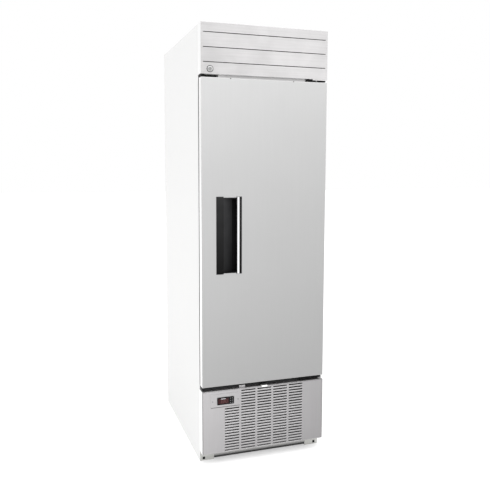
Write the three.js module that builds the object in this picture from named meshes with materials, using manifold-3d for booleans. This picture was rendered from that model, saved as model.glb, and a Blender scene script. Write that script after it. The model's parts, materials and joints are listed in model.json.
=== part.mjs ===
// Reach-in refrigerator: one solid door, bottom-mounted condensing unit.
// Millimetres, +Z up, front towards -Y, origin at the bottom centre of the bounding box.
import * as THREE from "three";
import Module from "manifold-3d";
import { mergeVertices } from "three/addons/utils/BufferGeometryUtils.js";

const wasm = await Module();
wasm.setup();

// Overall size. DEPTH runs from the front plane of door, canopy and grille to the back.
const WIDTH = 610;
const HEIGHT = 2020;
const DEPTH = 838;
const KEYS_PROUD = 5.4;
const FRONT = KEYS_PROUD - (DEPTH + KEYS_PROUD) / 2;
const HALF = WIDTH / 2;

// Construction.
const SHEET = 1.5;
const GAP = 0.3;
const WALL = 50;
const LINER = 1;
const SET_BACK = 53;
const FLANGE = 28;
const REAR_FLANGE = 20;
const FRAME = 3;
const BASE_HEIGHT = 75;
const INNER = HALF - SHEET;

// Heights of the front, from the floor.
const GRILLE_Z = [52, 354];
const DOOR_Z = [374, 1785];
const CANOPY_Z = [1798, HEIGHT];
const RETURN_DEPTH = 48;
const GRILLE_HEM = 15;
const GROOVE = { heights: [1850, 1914, 1978], width: 3.5, depth: 0.8, margin: 10 };

// Storage space.
const ROOM_HALF = 252.5;
const ROOM_Z = [410, 1955];
const OPENING_TOP = 1748;
const REAR_RETURN = 834.7;
const ROOM_BACK = REAR_RETURN - GAP - WALL - GAP - LINER;
const SHELF_HEIGHTS = [740, 1075, 1410];

// Door.
const DOOR_DEPTH = 43;
const DOOR_SHEET = 1.2;
const DIKE_HALF = 258;
const DIKE_RISE = 6;
const PANEL = 2;
const GASKET = { half: 300, width: 17, depth: 7.9, inset: 5 };
const HINGE = { x: 290, depth: 15, pin: 5, bore: 5.3, bush: 8, length: 22 };

// Recessed handle: plan positions along the width.
const HANDLE_Z = [902, 1257];
const HANDLE = { left: -236.4, mouth: -202, knee: -153, lip: -140, tip: -122, right: -115 };
const POCKET_DEPTH = 29;
const LIP_DEPTH = 8;
const MOULDING = 2.5;
const CUTOUT = { left: 7, right: 3, end: 5 };
const RIM = { proud: -2, edge: -0.6, back: -0.2, bevel: 8 };
const TRIM = { x: [-137, -127], proud: -4.5 };

// Barrel lock in the canopy. CAM_SLOT is the hole that the cam turns down through.
const LOCK = { x: -263, z: 1820, bezel: 15, barrel: 11, plug: 8 };
const CAM = { reach: 34, width: 14, boss: 9, sheet: 3 };
const KEYWAY = { half: 0.9, depth: 6, rise: 4.5 };
const CAM_SLOT = { x: [-272, -226], depth: [21, 31] };
const STRIKE = { x: [-305, -227], cheek: 18, height: 11 };

// Grille slots, and the screw ear and clip at the grille's top edge.
const SLOT = { columns: 5, rows: 22, width: 70.5, height: 6, pitchX: 80.5, pitchZ: 13.43, low: 61 };
const ROWS_BELOW_CONTROLLER = 16;
const EAR = { x: [-123, -93], depth: 12, height: 11 };
const CLIP = { half: 14, proud: 1.8, drop: 5, height: 10, depth: 13 };
const SILL = { x: [-302, 180], front: 18, step: 34, low: 3, middle: 10, high: 17 };

// Temperature controller.
const CONTROL = { x: [-234, -153], z: [286.5, 321.5], plateX: [-265, -123], plateZ: [276, 338] };
const BODY = { side: 4, end: 2.5, depth: 60, play: 1 };
const LENS = { left: 4, right: -178, low: 5, high: 4, depth: [-4.7, -3.1] };
const KEY = { columns: [-170.5, -160.5], rows: [293.5, 304, 314.5], size: 7, play: 0.4, depth: 4.4 };

// Rear grille slots.
const REAR_SPLIT = 380;
const REAR_SLOT = { columns: [-180, 0, 180], rows: 9, half: 70, height: 12, low: 112, pitch: 28 };

// Base: open-ended rails under the sides, each with a slot in its front face.
const RAIL = { width: 68, sheet: 2, rear: 799, slotX: [279, 291], slotZ: [5.5, 18.5] };
const TRAY_FRONT = 60;

// Condensing unit and its pan.
const SHELL_AXIS = { x: -110, depth: 440 };
const SHELL = { radius: 88, z: [100, 290], middle: [130, 250], crown: 30, shoulder: 14, heel: 28 };
const FOOT = { x: 80, depth: 65, radius: 14, top: 94 };
const MOUNT_PLATE = { half: 100, halfDepth: 82, z: [92, 102] };
const TERMINAL_BOX = { x: [70, 118], half: 32, z: [160, 230] };
const PAN = { x: [-60, 260], depth: [600, 770], top: 120, wall: 2 };
const LAMP = { half: 120, depth: [160, 193], height: 26.7 };

// Fans.
const ROOM_AXIS = { x: 0, depth: 260, z: 1792 };
const ROOM_FAN = { hub: 24, tip: 98, thickness: 24, blades: 5, width: 46, twist: 0.42 };
const UNIT_AXIS = { x: 75, depth: 200, z: 207 };
const UNIT_FAN = { hub: 28, tip: 94, thickness: 26, blades: 4, width: 56, twist: 0.5 };
const SHAFT = 4;
const BLADE = 2.5;
const ROOT = 6;
const ROOM_MOTOR = { radius: 34, length: 60, arm: 150, half: 10, sheet: 3 };
const UNIT_MOTOR = { radius: 38, gap: 20, length: 62, half: 10, sheet: 3 };

// Colours.
const STEEL = 0xc9c7c8;
const WHITE = 0xf0f0ee;
const ZINC = 0xb9bab8;
const BLACK = 0x1b1b1d;
const GREY = 0x6e7072;
const FOAM = 0xe6d9a8;
const ALUMINIUM = 0xd3d6d9;

const group = new THREE.Group();
group.name = "reach_in_refrigerator";

function add(name, geometry, color, metalness = 0, roughness = 0.6) {
  const mesh = new THREE.Mesh(
    geometry,
    new THREE.MeshStandardMaterial({ color, metalness, roughness }),
  );
  mesh.name = name;
  group.add(mesh);
}

const steel = (name, geometry) => add(name, geometry, STEEL, 0.9, 0.35);
const zinc = (name, geometry) => add(name, geometry, ZINC, 0.7, 0.5);
const plastic = (name, geometry, color = BLACK) => add(name, geometry, color);

// Shapes. Depths are measured backwards from the front plane.
const span = (half) => [-half, half];
const around = (centre, half) => [centre - half, centre + half];
const shrink = ([a, b], by) => [a + by, b - by];

function box([x0, x1], [d0, d1], [z0, z1]) {
  return new THREE.BoxGeometry(x1 - x0, d1 - d0, z1 - z0).translate(
    (x0 + x1) / 2,
    FRONT + (d0 + d1) / 2,
    (z0 + z1) / 2,
  );
}

function rodY(radius, [d0, d1], x, z, sides = 32, rearRadius = radius) {
  return new THREE.CylinderGeometry(rearRadius, radius, d1 - d0, sides).translate(
    x,
    FRONT + (d0 + d1) / 2,
    z,
  );
}

function rodZ(radius, [z0, z1], x, depth, sides = 32, topRadius = radius) {
  return new THREE.CylinderGeometry(topRadius, radius, z1 - z0, sides)
    .rotateX(Math.PI / 2)
    .translate(x, FRONT + depth, (z0 + z1) / 2);
}

const outline = (points) => new THREE.Shape(points.map(([u, v]) => new THREE.Vector2(u, v)));

function extrude(shape, length) {
  return new THREE.ExtrudeGeometry(shape, { depth: length, bevelEnabled: false });
}

// Profile given as [x, depth], carried up from z0 to z1.
function alongZ(points, [z0, z1]) {
  return extrude(outline(points), z1 - z0).translate(0, FRONT, z0);
}

// Profile given as [depth, z], carried across from x0 to x1.
function alongX(points, [x0, x1]) {
  const turn = new THREE.Matrix4().makeBasis(
    new THREE.Vector3(0, 1, 0),
    new THREE.Vector3(0, 0, 1),
    new THREE.Vector3(1, 0, 0),
  );
  return extrude(outline(points), x1 - x0)
    .applyMatrix4(turn)
    .translate(x0, FRONT, 0);
}

function toSolid(geometry) {
  const bare = geometry.clone();
  bare.deleteAttribute("normal");
  bare.deleteAttribute("uv");
  const welded = mergeVertices(bare, 1e-4);
  return new wasm.Manifold(
    new wasm.Mesh({
      numProp: 3,
      vertProperties: new Float32Array(welded.attributes.position.array),
      triVerts: new Uint32Array(welded.index.array),
    }),
  );
}

function toGeometry(solid) {
  const mesh = solid.getMesh();
  const geometry = new THREE.BufferGeometry();
  geometry.setAttribute("position", new THREE.BufferAttribute(mesh.vertProperties, 3));
  geometry.setIndex(new THREE.BufferAttribute(mesh.triVerts, 1));
  geometry.computeVertexNormals();
  return geometry;
}

function join(first, ...rest) {
  return toGeometry(rest.reduce((sum, part) => sum.add(toSolid(part)), toSolid(first)));
}

function cut(first, ...rest) {
  return toGeometry(rest.reduce((left, part) => left.subtract(toSolid(part)), toSolid(first)));
}

// Sheet with rectangular holes, lying in the XZ plane.
function pierced(xs, zs, depths, holes) {
  const through = [depths[0] - 1, depths[1] + 1];
  return cut(
    box(xs, depths, zs),
    ...holes.map(([x0, x1, z0, z1]) => box([x0, x1], through, [z0, z1])),
  );
}

// Cabinet shell.
for (const [name, side] of [
  ["side_panel_left", -1],
  ["side_panel_right", 1],
]) {
  const between = (a, b) => (side < 0 ? [-a, -b] : [b, a]);
  const skin = box(between(HALF, INNER), [SET_BACK, REAR_RETURN + SHEET], [0, HEIGHT]);
  const flangeZ = [BASE_HEIGHT + 1, HEIGHT - SHEET - GAP];
  const front = box(between(HALF, HALF - FLANGE), [SET_BACK, SET_BACK + SHEET], flangeZ);
  const rear = box(between(HALF, HALF - REAR_FLANGE), [REAR_RETURN, REAR_RETURN + SHEET], flangeZ);
  add(name, join(skin, front, rear), WHITE, 0, 0.4);
}
const shellX = span(INNER - GAP);
zinc("top_panel", box(shellX, [SET_BACK, REAR_RETURN + SHEET], [HEIGHT - SHEET, HEIGHT]));
const REAR_SHEET = [DEPTH - SHEET, DEPTH];
zinc("back_panel", box(span(HALF), REAR_SHEET, [REAR_SPLIT, HEIGHT]));

const rearSlots = [];
for (const x of REAR_SLOT.columns) {
  for (let row = 0; row < REAR_SLOT.rows; row += 1) {
    const z = REAR_SLOT.low + row * REAR_SLOT.pitch;
    rearSlots.push([x - REAR_SLOT.half, x + REAR_SLOT.half, z, z + REAR_SLOT.height]);
  }
}
zinc("rear_grille", pierced(span(HALF), [BASE_HEIGHT + 1, REAR_SPLIT - GAP], REAR_SHEET, rearSlots));

// Foam, liner and the frame around the door opening.
const DECK = [ROOM_Z[0] - LINER - WALL - 2 * GAP - SHEET, ROOM_Z[0] - LINER - WALL - 2 * GAP];
const frameBack = SET_BACK + FRAME;
const foamBody = box(shellX, [frameBack + GAP, REAR_RETURN - GAP], [DECK[1] + GAP, HEIGHT - SHEET - GAP]);
const linerX = span(ROOM_HALF + LINER);
const linerZ = [ROOM_Z[0] - LINER, ROOM_Z[1] + LINER];
const foamRoom = box(
  span(ROOM_HALF + LINER + GAP),
  [0, ROOM_BACK + LINER + GAP],
  [linerZ[0] - GAP, linerZ[1] + GAP],
);
add("foam_insulation", cut(foamBody, foamRoom), FOAM, 0, 0.9);
add(
  "inner_liner",
  cut(
    box(linerX, [frameBack + GAP, ROOM_BACK + LINER], linerZ),
    box(span(ROOM_HALF), [0, ROOM_BACK], ROOM_Z),
  ),
  WHITE,
  0,
  0.45,
);
const frameX = span(HALF - FLANGE - GAP);
add(
  "face_frame",
  pierced(frameX, [DECK[0], HEIGHT - SHEET - GAP], [SET_BACK, frameBack], [
    [-ROOM_HALF, ROOM_HALF, ROOM_Z[0], OPENING_TOP],
  ]),
  WHITE,
  0,
  0.4,
);
zinc("machine_deck", box(shellX, [frameBack + GAP, REAR_RETURN - GAP], DECK));

// Base.
const railX = [INNER - GAP - RAIL.width, INNER - GAP];
const hollowX = [railX[0] + RAIL.sheet, railX[1] - RAIL.sheet];
const railHollowZ = [RAIL.sheet, BASE_HEIGHT - RAIL.sheet];
for (const [name, side] of [
  ["base_rail_left", -1],
  ["base_rail_right", 1],
]) {
  const mirror = ([a, b]) => (side < 0 ? [-b, -a] : [a, b]);
  zinc(
    name,
    cut(
      box(mirror(railX), [SET_BACK, RAIL.rear], [0, BASE_HEIGHT]),
      box(mirror(hollowX), [SET_BACK + RAIL.sheet, RAIL.rear + 1], railHollowZ),
      box(mirror(RAIL.slotX), [SET_BACK - 1, SET_BACK + 3], RAIL.slotZ),
    ),
  );
}
zinc(
  "base_rail_rear",
  cut(
    box(shellX, [RAIL.rear + GAP, REAR_RETURN - GAP], [0, BASE_HEIGHT]),
    box(span(HALF), [RAIL.rear + GAP + RAIL.sheet, REAR_RETURN - GAP - RAIL.sheet], railHollowZ),
  ),
);

// Kick plate: a sheet with a rolled lower lip and a top return under the tray.
const LIP_RADIUS = 8;
const LIP_CENTRE = [SET_BACK + 1 + LIP_RADIUS, LIP_RADIUS + 3];
const lipArc = (radius, order) =>
  order.map((step) => {
    const angle = (step / 6) * (Math.PI / 2);
    return [LIP_CENTRE[0] - radius * Math.cos(angle), LIP_CENTRE[1] - radius * Math.sin(angle)];
  });
steel(
  "kick_plate",
  alongX(
    [
      ...lipArc(LIP_RADIUS, [0, 1, 2, 3, 4, 5, 6]),
      ...lipArc(LIP_RADIUS - SHEET, [6, 5, 4, 3, 2, 1, 0]),
      [LIP_CENTRE[0] - LIP_RADIUS + SHEET, BASE_HEIGHT - SHEET],
      [LIP_CENTRE[0], BASE_HEIGHT - SHEET],
      [LIP_CENTRE[0], BASE_HEIGHT],
      [LIP_CENTRE[0] - LIP_RADIUS, BASE_HEIGHT],
    ],
    span(railX[0] - GAP),
  ),
);
const TRAY_Z = [BASE_HEIGHT + GAP, BASE_HEIGHT + GAP + RAIL.sheet];
const TRAY_TOP = TRAY_Z[1] + GAP;
zinc("unit_tray", box(span(INNER - 3), [TRAY_FRONT, RAIL.rear], TRAY_Z));

// Canopy above the door, with three pressed grooves.
const panelDepth = [0, SET_BACK - GAP];
const grooves = GROOVE.heights.map((z) =>
  box(span(HALF - GROOVE.margin), [-1, GROOVE.depth], [z - GROOVE.width / 2, z + GROOVE.width / 2]),
);
steel(
  "canopy_panel",
  cut(
    box(span(HALF), panelDepth, CANOPY_Z),
    box(span(INNER), [SHEET, SET_BACK], [CANOPY_Z[0] + SHEET, HEIGHT - SHEET]),
    box(span(INNER), [RETURN_DEPTH, SET_BACK], [CANOPY_Z[0] - 1, CANOPY_Z[0] + 5]),
    rodY(LOCK.barrel + GAP, [-1, 5], LOCK.x, LOCK.z),
    box(CAM_SLOT.x, CAM_SLOT.depth, [CANOPY_Z[0] - 1, CANOPY_Z[0] + 3]),
    ...grooves,
  ),
);

// Grille panel below the door, with the screw ear at its top edge.
const slots = [];
for (let column = 0; column < SLOT.columns; column += 1) {
  const x = (column - (SLOT.columns - 1) / 2) * SLOT.pitchX;
  const rows = column === 0 ? ROWS_BELOW_CONTROLLER : SLOT.rows;
  for (let row = 0; row < rows; row += 1) {
    const z = SLOT.low + row * SLOT.pitchZ;
    slots.push([x - SLOT.width / 2, x + SLOT.width / 2, z - SLOT.height / 2, z + SLOT.height / 2]);
  }
}
const bodyX = shrink(CONTROL.x, BODY.side);
const bodyZ = shrink(CONTROL.z, BODY.end);
const bodyHole = [...shrink(bodyX, -BODY.play), ...shrink(bodyZ, -BODY.play)];
slots.push(bodyHole);
steel(
  "grille_panel",
  join(
    pierced(span(HALF), GRILLE_Z, [0, SHEET], slots),
    box([-HALF, -INNER], panelDepth, GRILLE_Z),
    box([INNER, HALF], panelDepth, GRILLE_Z),
    box(span(HALF), [0, RETURN_DEPTH], [GRILLE_Z[1] - SHEET, GRILLE_Z[1]]),
    box(span(HALF), [0, GRILLE_HEM], [GRILLE_Z[0], GRILLE_Z[0] + SHEET]),
    box(EAR.x, [EAR.depth, EAR.depth + SHEET], [GRILLE_Z[1] - SHEET, GRILLE_Z[1] + EAR.height]),
  ),
);
plastic(
  "grille_clip",
  alongX(
    [
      [-CLIP.proud, GRILLE_Z[1] - CLIP.drop],
      [-GAP, GRILLE_Z[1] - CLIP.drop],
      [-GAP, GRILLE_Z[1] + GAP],
      [CLIP.depth, GRILLE_Z[1] + GAP],
      [CLIP.depth, GRILLE_Z[1] + CLIP.height],
      [-CLIP.proud, GRILLE_Z[1] + CLIP.height],
    ],
    span(CLIP.half),
  ),
  WHITE,
);
plastic(
  "sill_trim",
  alongX(
    [
      [SILL.front, GRILLE_Z[1] + SILL.low],
      [SET_BACK - GAP, GRILLE_Z[1] + SILL.low],
      [SET_BACK - GAP, GRILLE_Z[1] + SILL.high],
      [SILL.step, GRILLE_Z[1] + SILL.high],
      [SILL.step, GRILLE_Z[1] + SILL.middle],
      [SILL.front, GRILLE_Z[1] + SILL.middle],
    ],
    SILL.x,
  ),
);

// Temperature controller.
const PLATE_DEPTH = [-1.5, -GAP];
steel(
  "controller_plate",
  pierced(CONTROL.plateX, CONTROL.plateZ, PLATE_DEPTH, [bodyHole]),
);
const BEZEL_DEPTH = [-4.4, PLATE_DEPTH[0] - GAP];
const lensX = [CONTROL.x[0] + LENS.left, LENS.right];
const lensZ = [CONTROL.z[0] + LENS.low, CONTROL.z[1] - LENS.high];
const keyCentres = KEY.rows.flatMap((z) => KEY.columns.map((x) => [x, z]));
const keyBox = ([x, z], extra, depths) => {
  const reach = KEY.size / 2 + extra;
  return box([x - reach, x + reach], depths, [z - reach, z + reach]);
};
plastic(
  "controller_housing",
  cut(
    join(box(CONTROL.x, BEZEL_DEPTH, CONTROL.z), box(bodyX, [-3, BODY.depth], bodyZ)),
    box(lensX, [-5, LENS.depth[1] + GAP], lensZ),
    ...keyCentres.map((centre) => keyBox(centre, KEY.play, [-5, KEY.depth])),
  ),
);
plastic(
  "controller_lens",
  box(shrink(lensX, GAP), LENS.depth, shrink(lensZ, GAP)),
  0x4a1518,
);
const KEY_NAMES = ["key_set", "key_power", "key_down", "key_defrost", "key_up", "key_light"];
keyCentres.forEach((centre, index) => {
  plastic(KEY_NAMES[index], keyBox(centre, 0, [-KEYS_PROUD, KEY.depth - 2]));
});

// Barrel lock: fixed housing, turning plug, and the cam on the plug's rear end.
const PLUG_DEPTH = [-2.8, 23];
steel(
  "lock_housing",
  cut(
    join(
      rodY(LOCK.bezel, [-2.5, -GAP], LOCK.x, LOCK.z),
      rodY(LOCK.barrel, [-2, PLUG_DEPTH[1] - 2], LOCK.x, LOCK.z),
    ),
    rodY(LOCK.plug + GAP, [-5, PLUG_DEPTH[1] + 2], LOCK.x, LOCK.z),
  ),
);
steel(
  "lock_plug",
  cut(
    rodY(LOCK.plug, PLUG_DEPTH, LOCK.x, LOCK.z),
    box(
      around(LOCK.x, KEYWAY.half),
      [PLUG_DEPTH[0] - 1, KEYWAY.depth],
      around(LOCK.z, KEYWAY.rise),
    ),
  ),
);
const camDepth = [PLUG_DEPTH[1] + GAP, PLUG_DEPTH[1] + GAP + CAM.sheet];
steel(
  "lock_cam",
  join(
    rodY(CAM.boss, camDepth, LOCK.x, LOCK.z),
    box([LOCK.x, LOCK.x + CAM.reach], camDepth, around(LOCK.z, CAM.width / 2)),
  ),
);

// Hinge brackets: plate over or under the door, flange on the cabinet face, pin and closer block.
const BRACKET = { x: [184, 300], front: 8, plate: 5, flange: 3, rise: 60, above: 4, below: 7 };
const CLOSER = { x: [206, 229], front: 5, z: [DOOR_Z[1] + 1.3, CANOPY_Z[0] - 0.5] };
const bracketDepth = [BRACKET.front, SET_BACK - GAP];
const flangeDepth = [SET_BACK - GAP - BRACKET.flange, SET_BACK - GAP];
const pinTop = DOOR_Z[1] + BRACKET.above;
const pinLow = DOOR_Z[0] - BRACKET.below;
const topPlateX = [CLOSER.x[0], BRACKET.x[1]];
plastic(
  "hinge_bracket_top",
  join(
    box(topPlateX, bracketDepth, [pinTop, pinTop + BRACKET.plate]),
    box(topPlateX, flangeDepth, [pinTop, pinTop + BRACKET.rise]),
    box(CLOSER.x, [CLOSER.front, flangeDepth[1]], CLOSER.z),
    rodZ(HINGE.pin, [pinTop - HINGE.length, pinTop + 2], HINGE.x, HINGE.depth, 16),
  ),
);
plastic(
  "hinge_bracket_bottom",
  join(
    box(BRACKET.x, bracketDepth, [pinLow - BRACKET.plate, pinLow]),
    box(BRACKET.x, flangeDepth, [pinLow - BRACKET.plate - BRACKET.rise, pinLow]),
    rodZ(HINGE.pin, [pinLow - 2, pinLow + HINGE.length], HINGE.x, HINGE.depth, 16),
  ),
);

// Door.
const BUSH_HOLE = 40;
const bushHoles = [
  rodZ(HINGE.bush + GAP, [DOOR_Z[1] - BUSH_HOLE, DOOR_Z[1] + 5], HINGE.x, HINGE.depth, 16),
  rodZ(HINGE.bush + GAP, [DOOR_Z[0] - 5, DOOR_Z[0] + BUSH_HOLE], HINGE.x, HINGE.depth, 16),
];
const pocketHole = box(
  [HANDLE.mouth - CUTOUT.left, HANDLE.tip + CUTOUT.right],
  [-1, POCKET_DEPTH + MOULDING + 1],
  shrink(HANDLE_Z, CUTOUT.end),
);
const doorInner = span(HALF - DOOR_SHEET);
const doorInnerZ = [DOOR_Z[0] + DOOR_SHEET, DOOR_Z[1] - DOOR_SHEET];
steel(
  "door_skin",
  cut(
    box(span(HALF), [0, DOOR_DEPTH], DOOR_Z),
    box(doorInner, [DOOR_SHEET, DOOR_DEPTH + 1], doorInnerZ),
    pocketHole,
    ...bushHoles,
  ),
);
const fillX = span(HALF - DOOR_SHEET - GAP);
const fillZ = [doorInnerZ[0] + GAP, doorInnerZ[1] - GAP];
const panelD = [DOOR_DEPTH - PANEL, DOOR_DEPTH];
const dikeZ = [ROOM_Z[0] + 2, OPENING_TOP - 2];
add(
  "door_foam",
  cut(
    join(
      box(fillX, [DOOR_SHEET + GAP, panelD[0] - GAP], fillZ),
      box(
        span(DIKE_HALF - PANEL - GAP),
        [DOOR_DEPTH / 2, DOOR_DEPTH + DIKE_RISE - PANEL - GAP],
        shrink(dikeZ, PANEL + GAP),
      ),
    ),
    pocketHole,
    ...bushHoles,
  ),
  FOAM,
  0,
  0.9,
);
plastic(
  "door_inner_panel",
  cut(
    join(
      box(fillX, panelD, fillZ),
      box(span(DIKE_HALF), [panelD[0], DOOR_DEPTH + DIKE_RISE], dikeZ),
    ),
    box(
      span(DIKE_HALF - PANEL),
      [panelD[0] - 1, DOOR_DEPTH + DIKE_RISE - PANEL],
      shrink(dikeZ, PANEL),
    ),
  ),
  WHITE,
);
const gasketZ = shrink(DOOR_Z, GASKET.inset);
const gasketHole = GASKET.half - GASKET.width;
plastic(
  "door_gasket",
  pierced(
    span(GASKET.half),
    gasketZ,
    [DOOR_DEPTH + GAP, DOOR_DEPTH + GAP + GASKET.depth],
    [[-gasketHole, gasketHole, ...shrink(gasketZ, GASKET.width)]],
  ),
  0x3c3d3f,
);

// Handle: a moulding with a sloped pocket that runs behind the grip lip, and a bright strip.
const rimDepth = [RIM.proud, RIM.back];
const pocketZ = shrink(HANDLE_Z, CUTOUT.end + 0.5);
plastic(
  "handle_pocket",
  cut(
    join(
      alongZ(
        [
          [HANDLE.left, RIM.back],
          [HANDLE.left, RIM.edge],
          [HANDLE.left + RIM.bevel, RIM.proud],
          [HANDLE.mouth, RIM.proud],
          [HANDLE.mouth, RIM.back],
        ],
        HANDLE_Z,
      ),
      box([HANDLE.mouth - 1, HANDLE.lip + 1], rimDepth, shrink(HANDLE_Z, CUTOUT.end - 0.5)),
      box([HANDLE.lip, HANDLE.right], rimDepth, HANDLE_Z),
      alongZ(
        [
          [HANDLE.mouth - 6, -1],
          [HANDLE.tip + MOULDING, -1],
          [HANDLE.tip + MOULDING, POCKET_DEPTH + MOULDING],
          [HANDLE.knee - 2, POCKET_DEPTH + MOULDING],
          [HANDLE.mouth - 6, 1.5],
        ],
        pocketZ,
      ),
    ),
    alongZ(
      [
        [HANDLE.mouth, -3],
        [HANDLE.lip, -3],
        [HANDLE.lip, LIP_DEPTH],
        [HANDLE.tip, LIP_DEPTH],
        [HANDLE.tip, POCKET_DEPTH],
        [HANDLE.knee, POCKET_DEPTH],
        [HANDLE.mouth, 1],
      ],
      shrink(pocketZ, MOULDING),
    ),
  ),
);
add(
  "handle_trim",
  box(TRIM.x, [TRIM.proud, RIM.proud - GAP], shrink(HANDLE_Z, 1)),
  0xe8e8ea,
  1,
  0.15,
);

// Strike on the door top: a wall behind the lock cam and a cheek at the door's free edge.
const strikeZ = [DOOR_Z[1] + GAP, DOOR_Z[1] + STRIKE.height];
plastic(
  "lock_strike",
  join(
    box(STRIKE.x, [camDepth[1] + 3, DOOR_DEPTH - 1], strikeZ),
    box([STRIKE.x[0], STRIKE.x[0] + STRIKE.cheek], [1, DOOR_DEPTH - 1], strikeZ),
  ),
);

// Hinge bushes, flanged on the door's ends.
for (const [name, face, way] of [
  ["hinge_bush_top", DOOR_Z[1], -1],
  ["hinge_bush_bottom", DOOR_Z[0], 1],
]) {
  const length = HINGE.length + 4;
  const reach = (from, to) => [face + way * from, face + way * to].sort((a, b) => a - b);
  plastic(
    name,
    cut(
      join(
        rodZ(HINGE.bush, reach(-2, length), HINGE.x, HINGE.depth, 16),
        rodZ(HINGE.bush + 3, reach(-GAP, -2), HINGE.x, HINGE.depth, 16),
      ),
      rodZ(HINGE.bore, reach(-5, length - 2), HINGE.x, HINGE.depth, 16),
    ),
    GREY,
  );
}

// Shelf pilasters, pierced, with the clips that the shelves rest on.
const PILASTER = { depth: 9, width: 24, z: [430, 1735], pitch: 67, sheet: 1.5, front: 140, rear: 690 };
const PIERCING = { first: 20, last: 15, half: 6, height: 6 };
const REST = { reach: 17, half: 8, sheet: 3, drop: 16 };
for (const [name, side, depth] of [
  ["pilaster_front_left", -1, PILASTER.front],
  ["pilaster_front_right", 1, PILASTER.front],
  ["pilaster_rear_left", -1, PILASTER.rear],
  ["pilaster_rear_right", 1, PILASTER.rear],
]) {
  const out = ROOM_HALF - GAP;
  const face = out - PILASTER.depth;
  const order = (a, b) => (side < 0 ? [-b, -a] : [a, b]);
  const wide = around(depth, PILASTER.width / 2);
  const holes = [];
  const hole = around(depth, PIERCING.half);
  for (let z = PILASTER.z[0] + PIERCING.first; z < PILASTER.z[1] - PIERCING.last; z += PILASTER.pitch) {
    holes.push(box(order(face - 1, face + 3), hole, [z, z + PIERCING.height]));
  }
  const rest = around(depth, REST.half);
  const clips = SHELF_HEIGHTS.map((z) =>
    join(
      box(order(face - REST.reach, face + 1), rest, [z - REST.sheet, z - GAP]),
      box(order(face - REST.sheet, face + 1), rest, [z - REST.drop, z - GAP]),
    ),
  );
  steel(
    name,
    join(
      cut(
        box(order(face, out), wide, PILASTER.z),
        box(
          order(face + PILASTER.sheet, out + 1),
          shrink(wide, PILASTER.sheet),
          [PILASTER.z[0] - 1, PILASTER.z[1] + 1],
        ),
        ...holes,
      ),
      ...clips,
    ),
  );
}

// Wire shelves: front-to-back wires in a rectangular rim, on three cross bars.
const SHELF = { half: 236, depth: [96, 760], bar: 6, wire: 5, wires: 13, middle: 425, inset: 14 };
const SHELF_NAMES = ["shelf_lower", "shelf_middle", "shelf_upper"];
const wirePitch = (2 * SHELF.half - SHELF.wire) / (SHELF.wires - 1);
SHELF_HEIGHTS.forEach((height, index) => {
  const bays = [];
  for (let bay = 0; bay < SHELF.wires - 1; bay += 1) {
    const start = -SHELF.half + bay * wirePitch + SHELF.wire;
    bays.push([start, start + wirePitch - SHELF.wire]);
  }
  const deck = cut(
    box(span(SHELF.half), SHELF.depth, [height, height + SHELF.wire]),
    ...bays.map((bay) => box(bay, shrink(SHELF.depth, SHELF.bar), [height - 1, height + SHELF.wire + 1])),
  );
  const bars = [SHELF.depth[0], SHELF.middle, SHELF.depth[1] - SHELF.bar].map((depth) =>
    box(span(SHELF.half - SHELF.inset), [depth, depth + SHELF.bar], [height - SHELF.bar, height + 1]),
  );
  steel(SHELF_NAMES[index], join(deck, ...bars));
});

// Fans are drawn about the vertical and then turned to their shaft.
function fan({ hub, tip, blades, width, thickness, twist }) {
  const parts = [];
  for (let index = 0; index < blades; index += 1) {
    parts.push(
      new THREE.BoxGeometry(tip - hub + ROOT, width, BLADE)
        .translate((tip + hub - ROOT) / 2, 0, 0)
        .rotateX(twist)
        .rotateZ((index / blades) * 2 * Math.PI),
    );
  }
  const core = new THREE.CylinderGeometry(hub, hub, thickness, 24).rotateX(Math.PI / 2);
  const bore = new THREE.CylinderGeometry(SHAFT + GAP, SHAFT + GAP, thickness, 16)
    .rotateX(Math.PI / 2)
    .translate(0, 0, thickness / 4);
  return cut(join(core, ...parts), bore);
}

// Evaporator above the storage space.
const COVER = { half: 245, depth: [90, 750], low: 1772, bevel: [150, 1880], ring: 8 };
const OUTLET = { columns: [-160, -80, 0, 80, 160], half: 30, depth: [700, 715] };
const coverTop = ROOM_Z[1] - GAP;
const throughCover = [COVER.low - 2, COVER.low + 4];
const outlets = OUTLET.columns.map((x) =>
  box(around(x, OUTLET.half), OUTLET.depth, throughCover),
);
steel(
  "evaporator_cover",
  cut(
    alongX(
      [
        [COVER.depth[0], coverTop],
        [COVER.depth[0], COVER.bevel[1]],
        [COVER.bevel[0], COVER.low],
        [COVER.depth[1], COVER.low],
        [COVER.depth[1], coverTop],
      ],
      span(COVER.half),
    ),
    alongX(
      [
        [COVER.depth[0] + SHEET, coverTop + 5],
        [COVER.depth[0] + SHEET, COVER.bevel[1]],
        [COVER.bevel[0] + SHEET, COVER.low + SHEET],
        [COVER.depth[1] - SHEET, COVER.low + SHEET],
        [COVER.depth[1] - SHEET, coverTop + 5],
      ],
      span(COVER.half - SHEET),
    ),
    rodZ(ROOM_FAN.tip + COVER.ring, throughCover, ROOM_AXIS.x, ROOM_AXIS.depth, 40),
    ...outlets,
  ),
);

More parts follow.
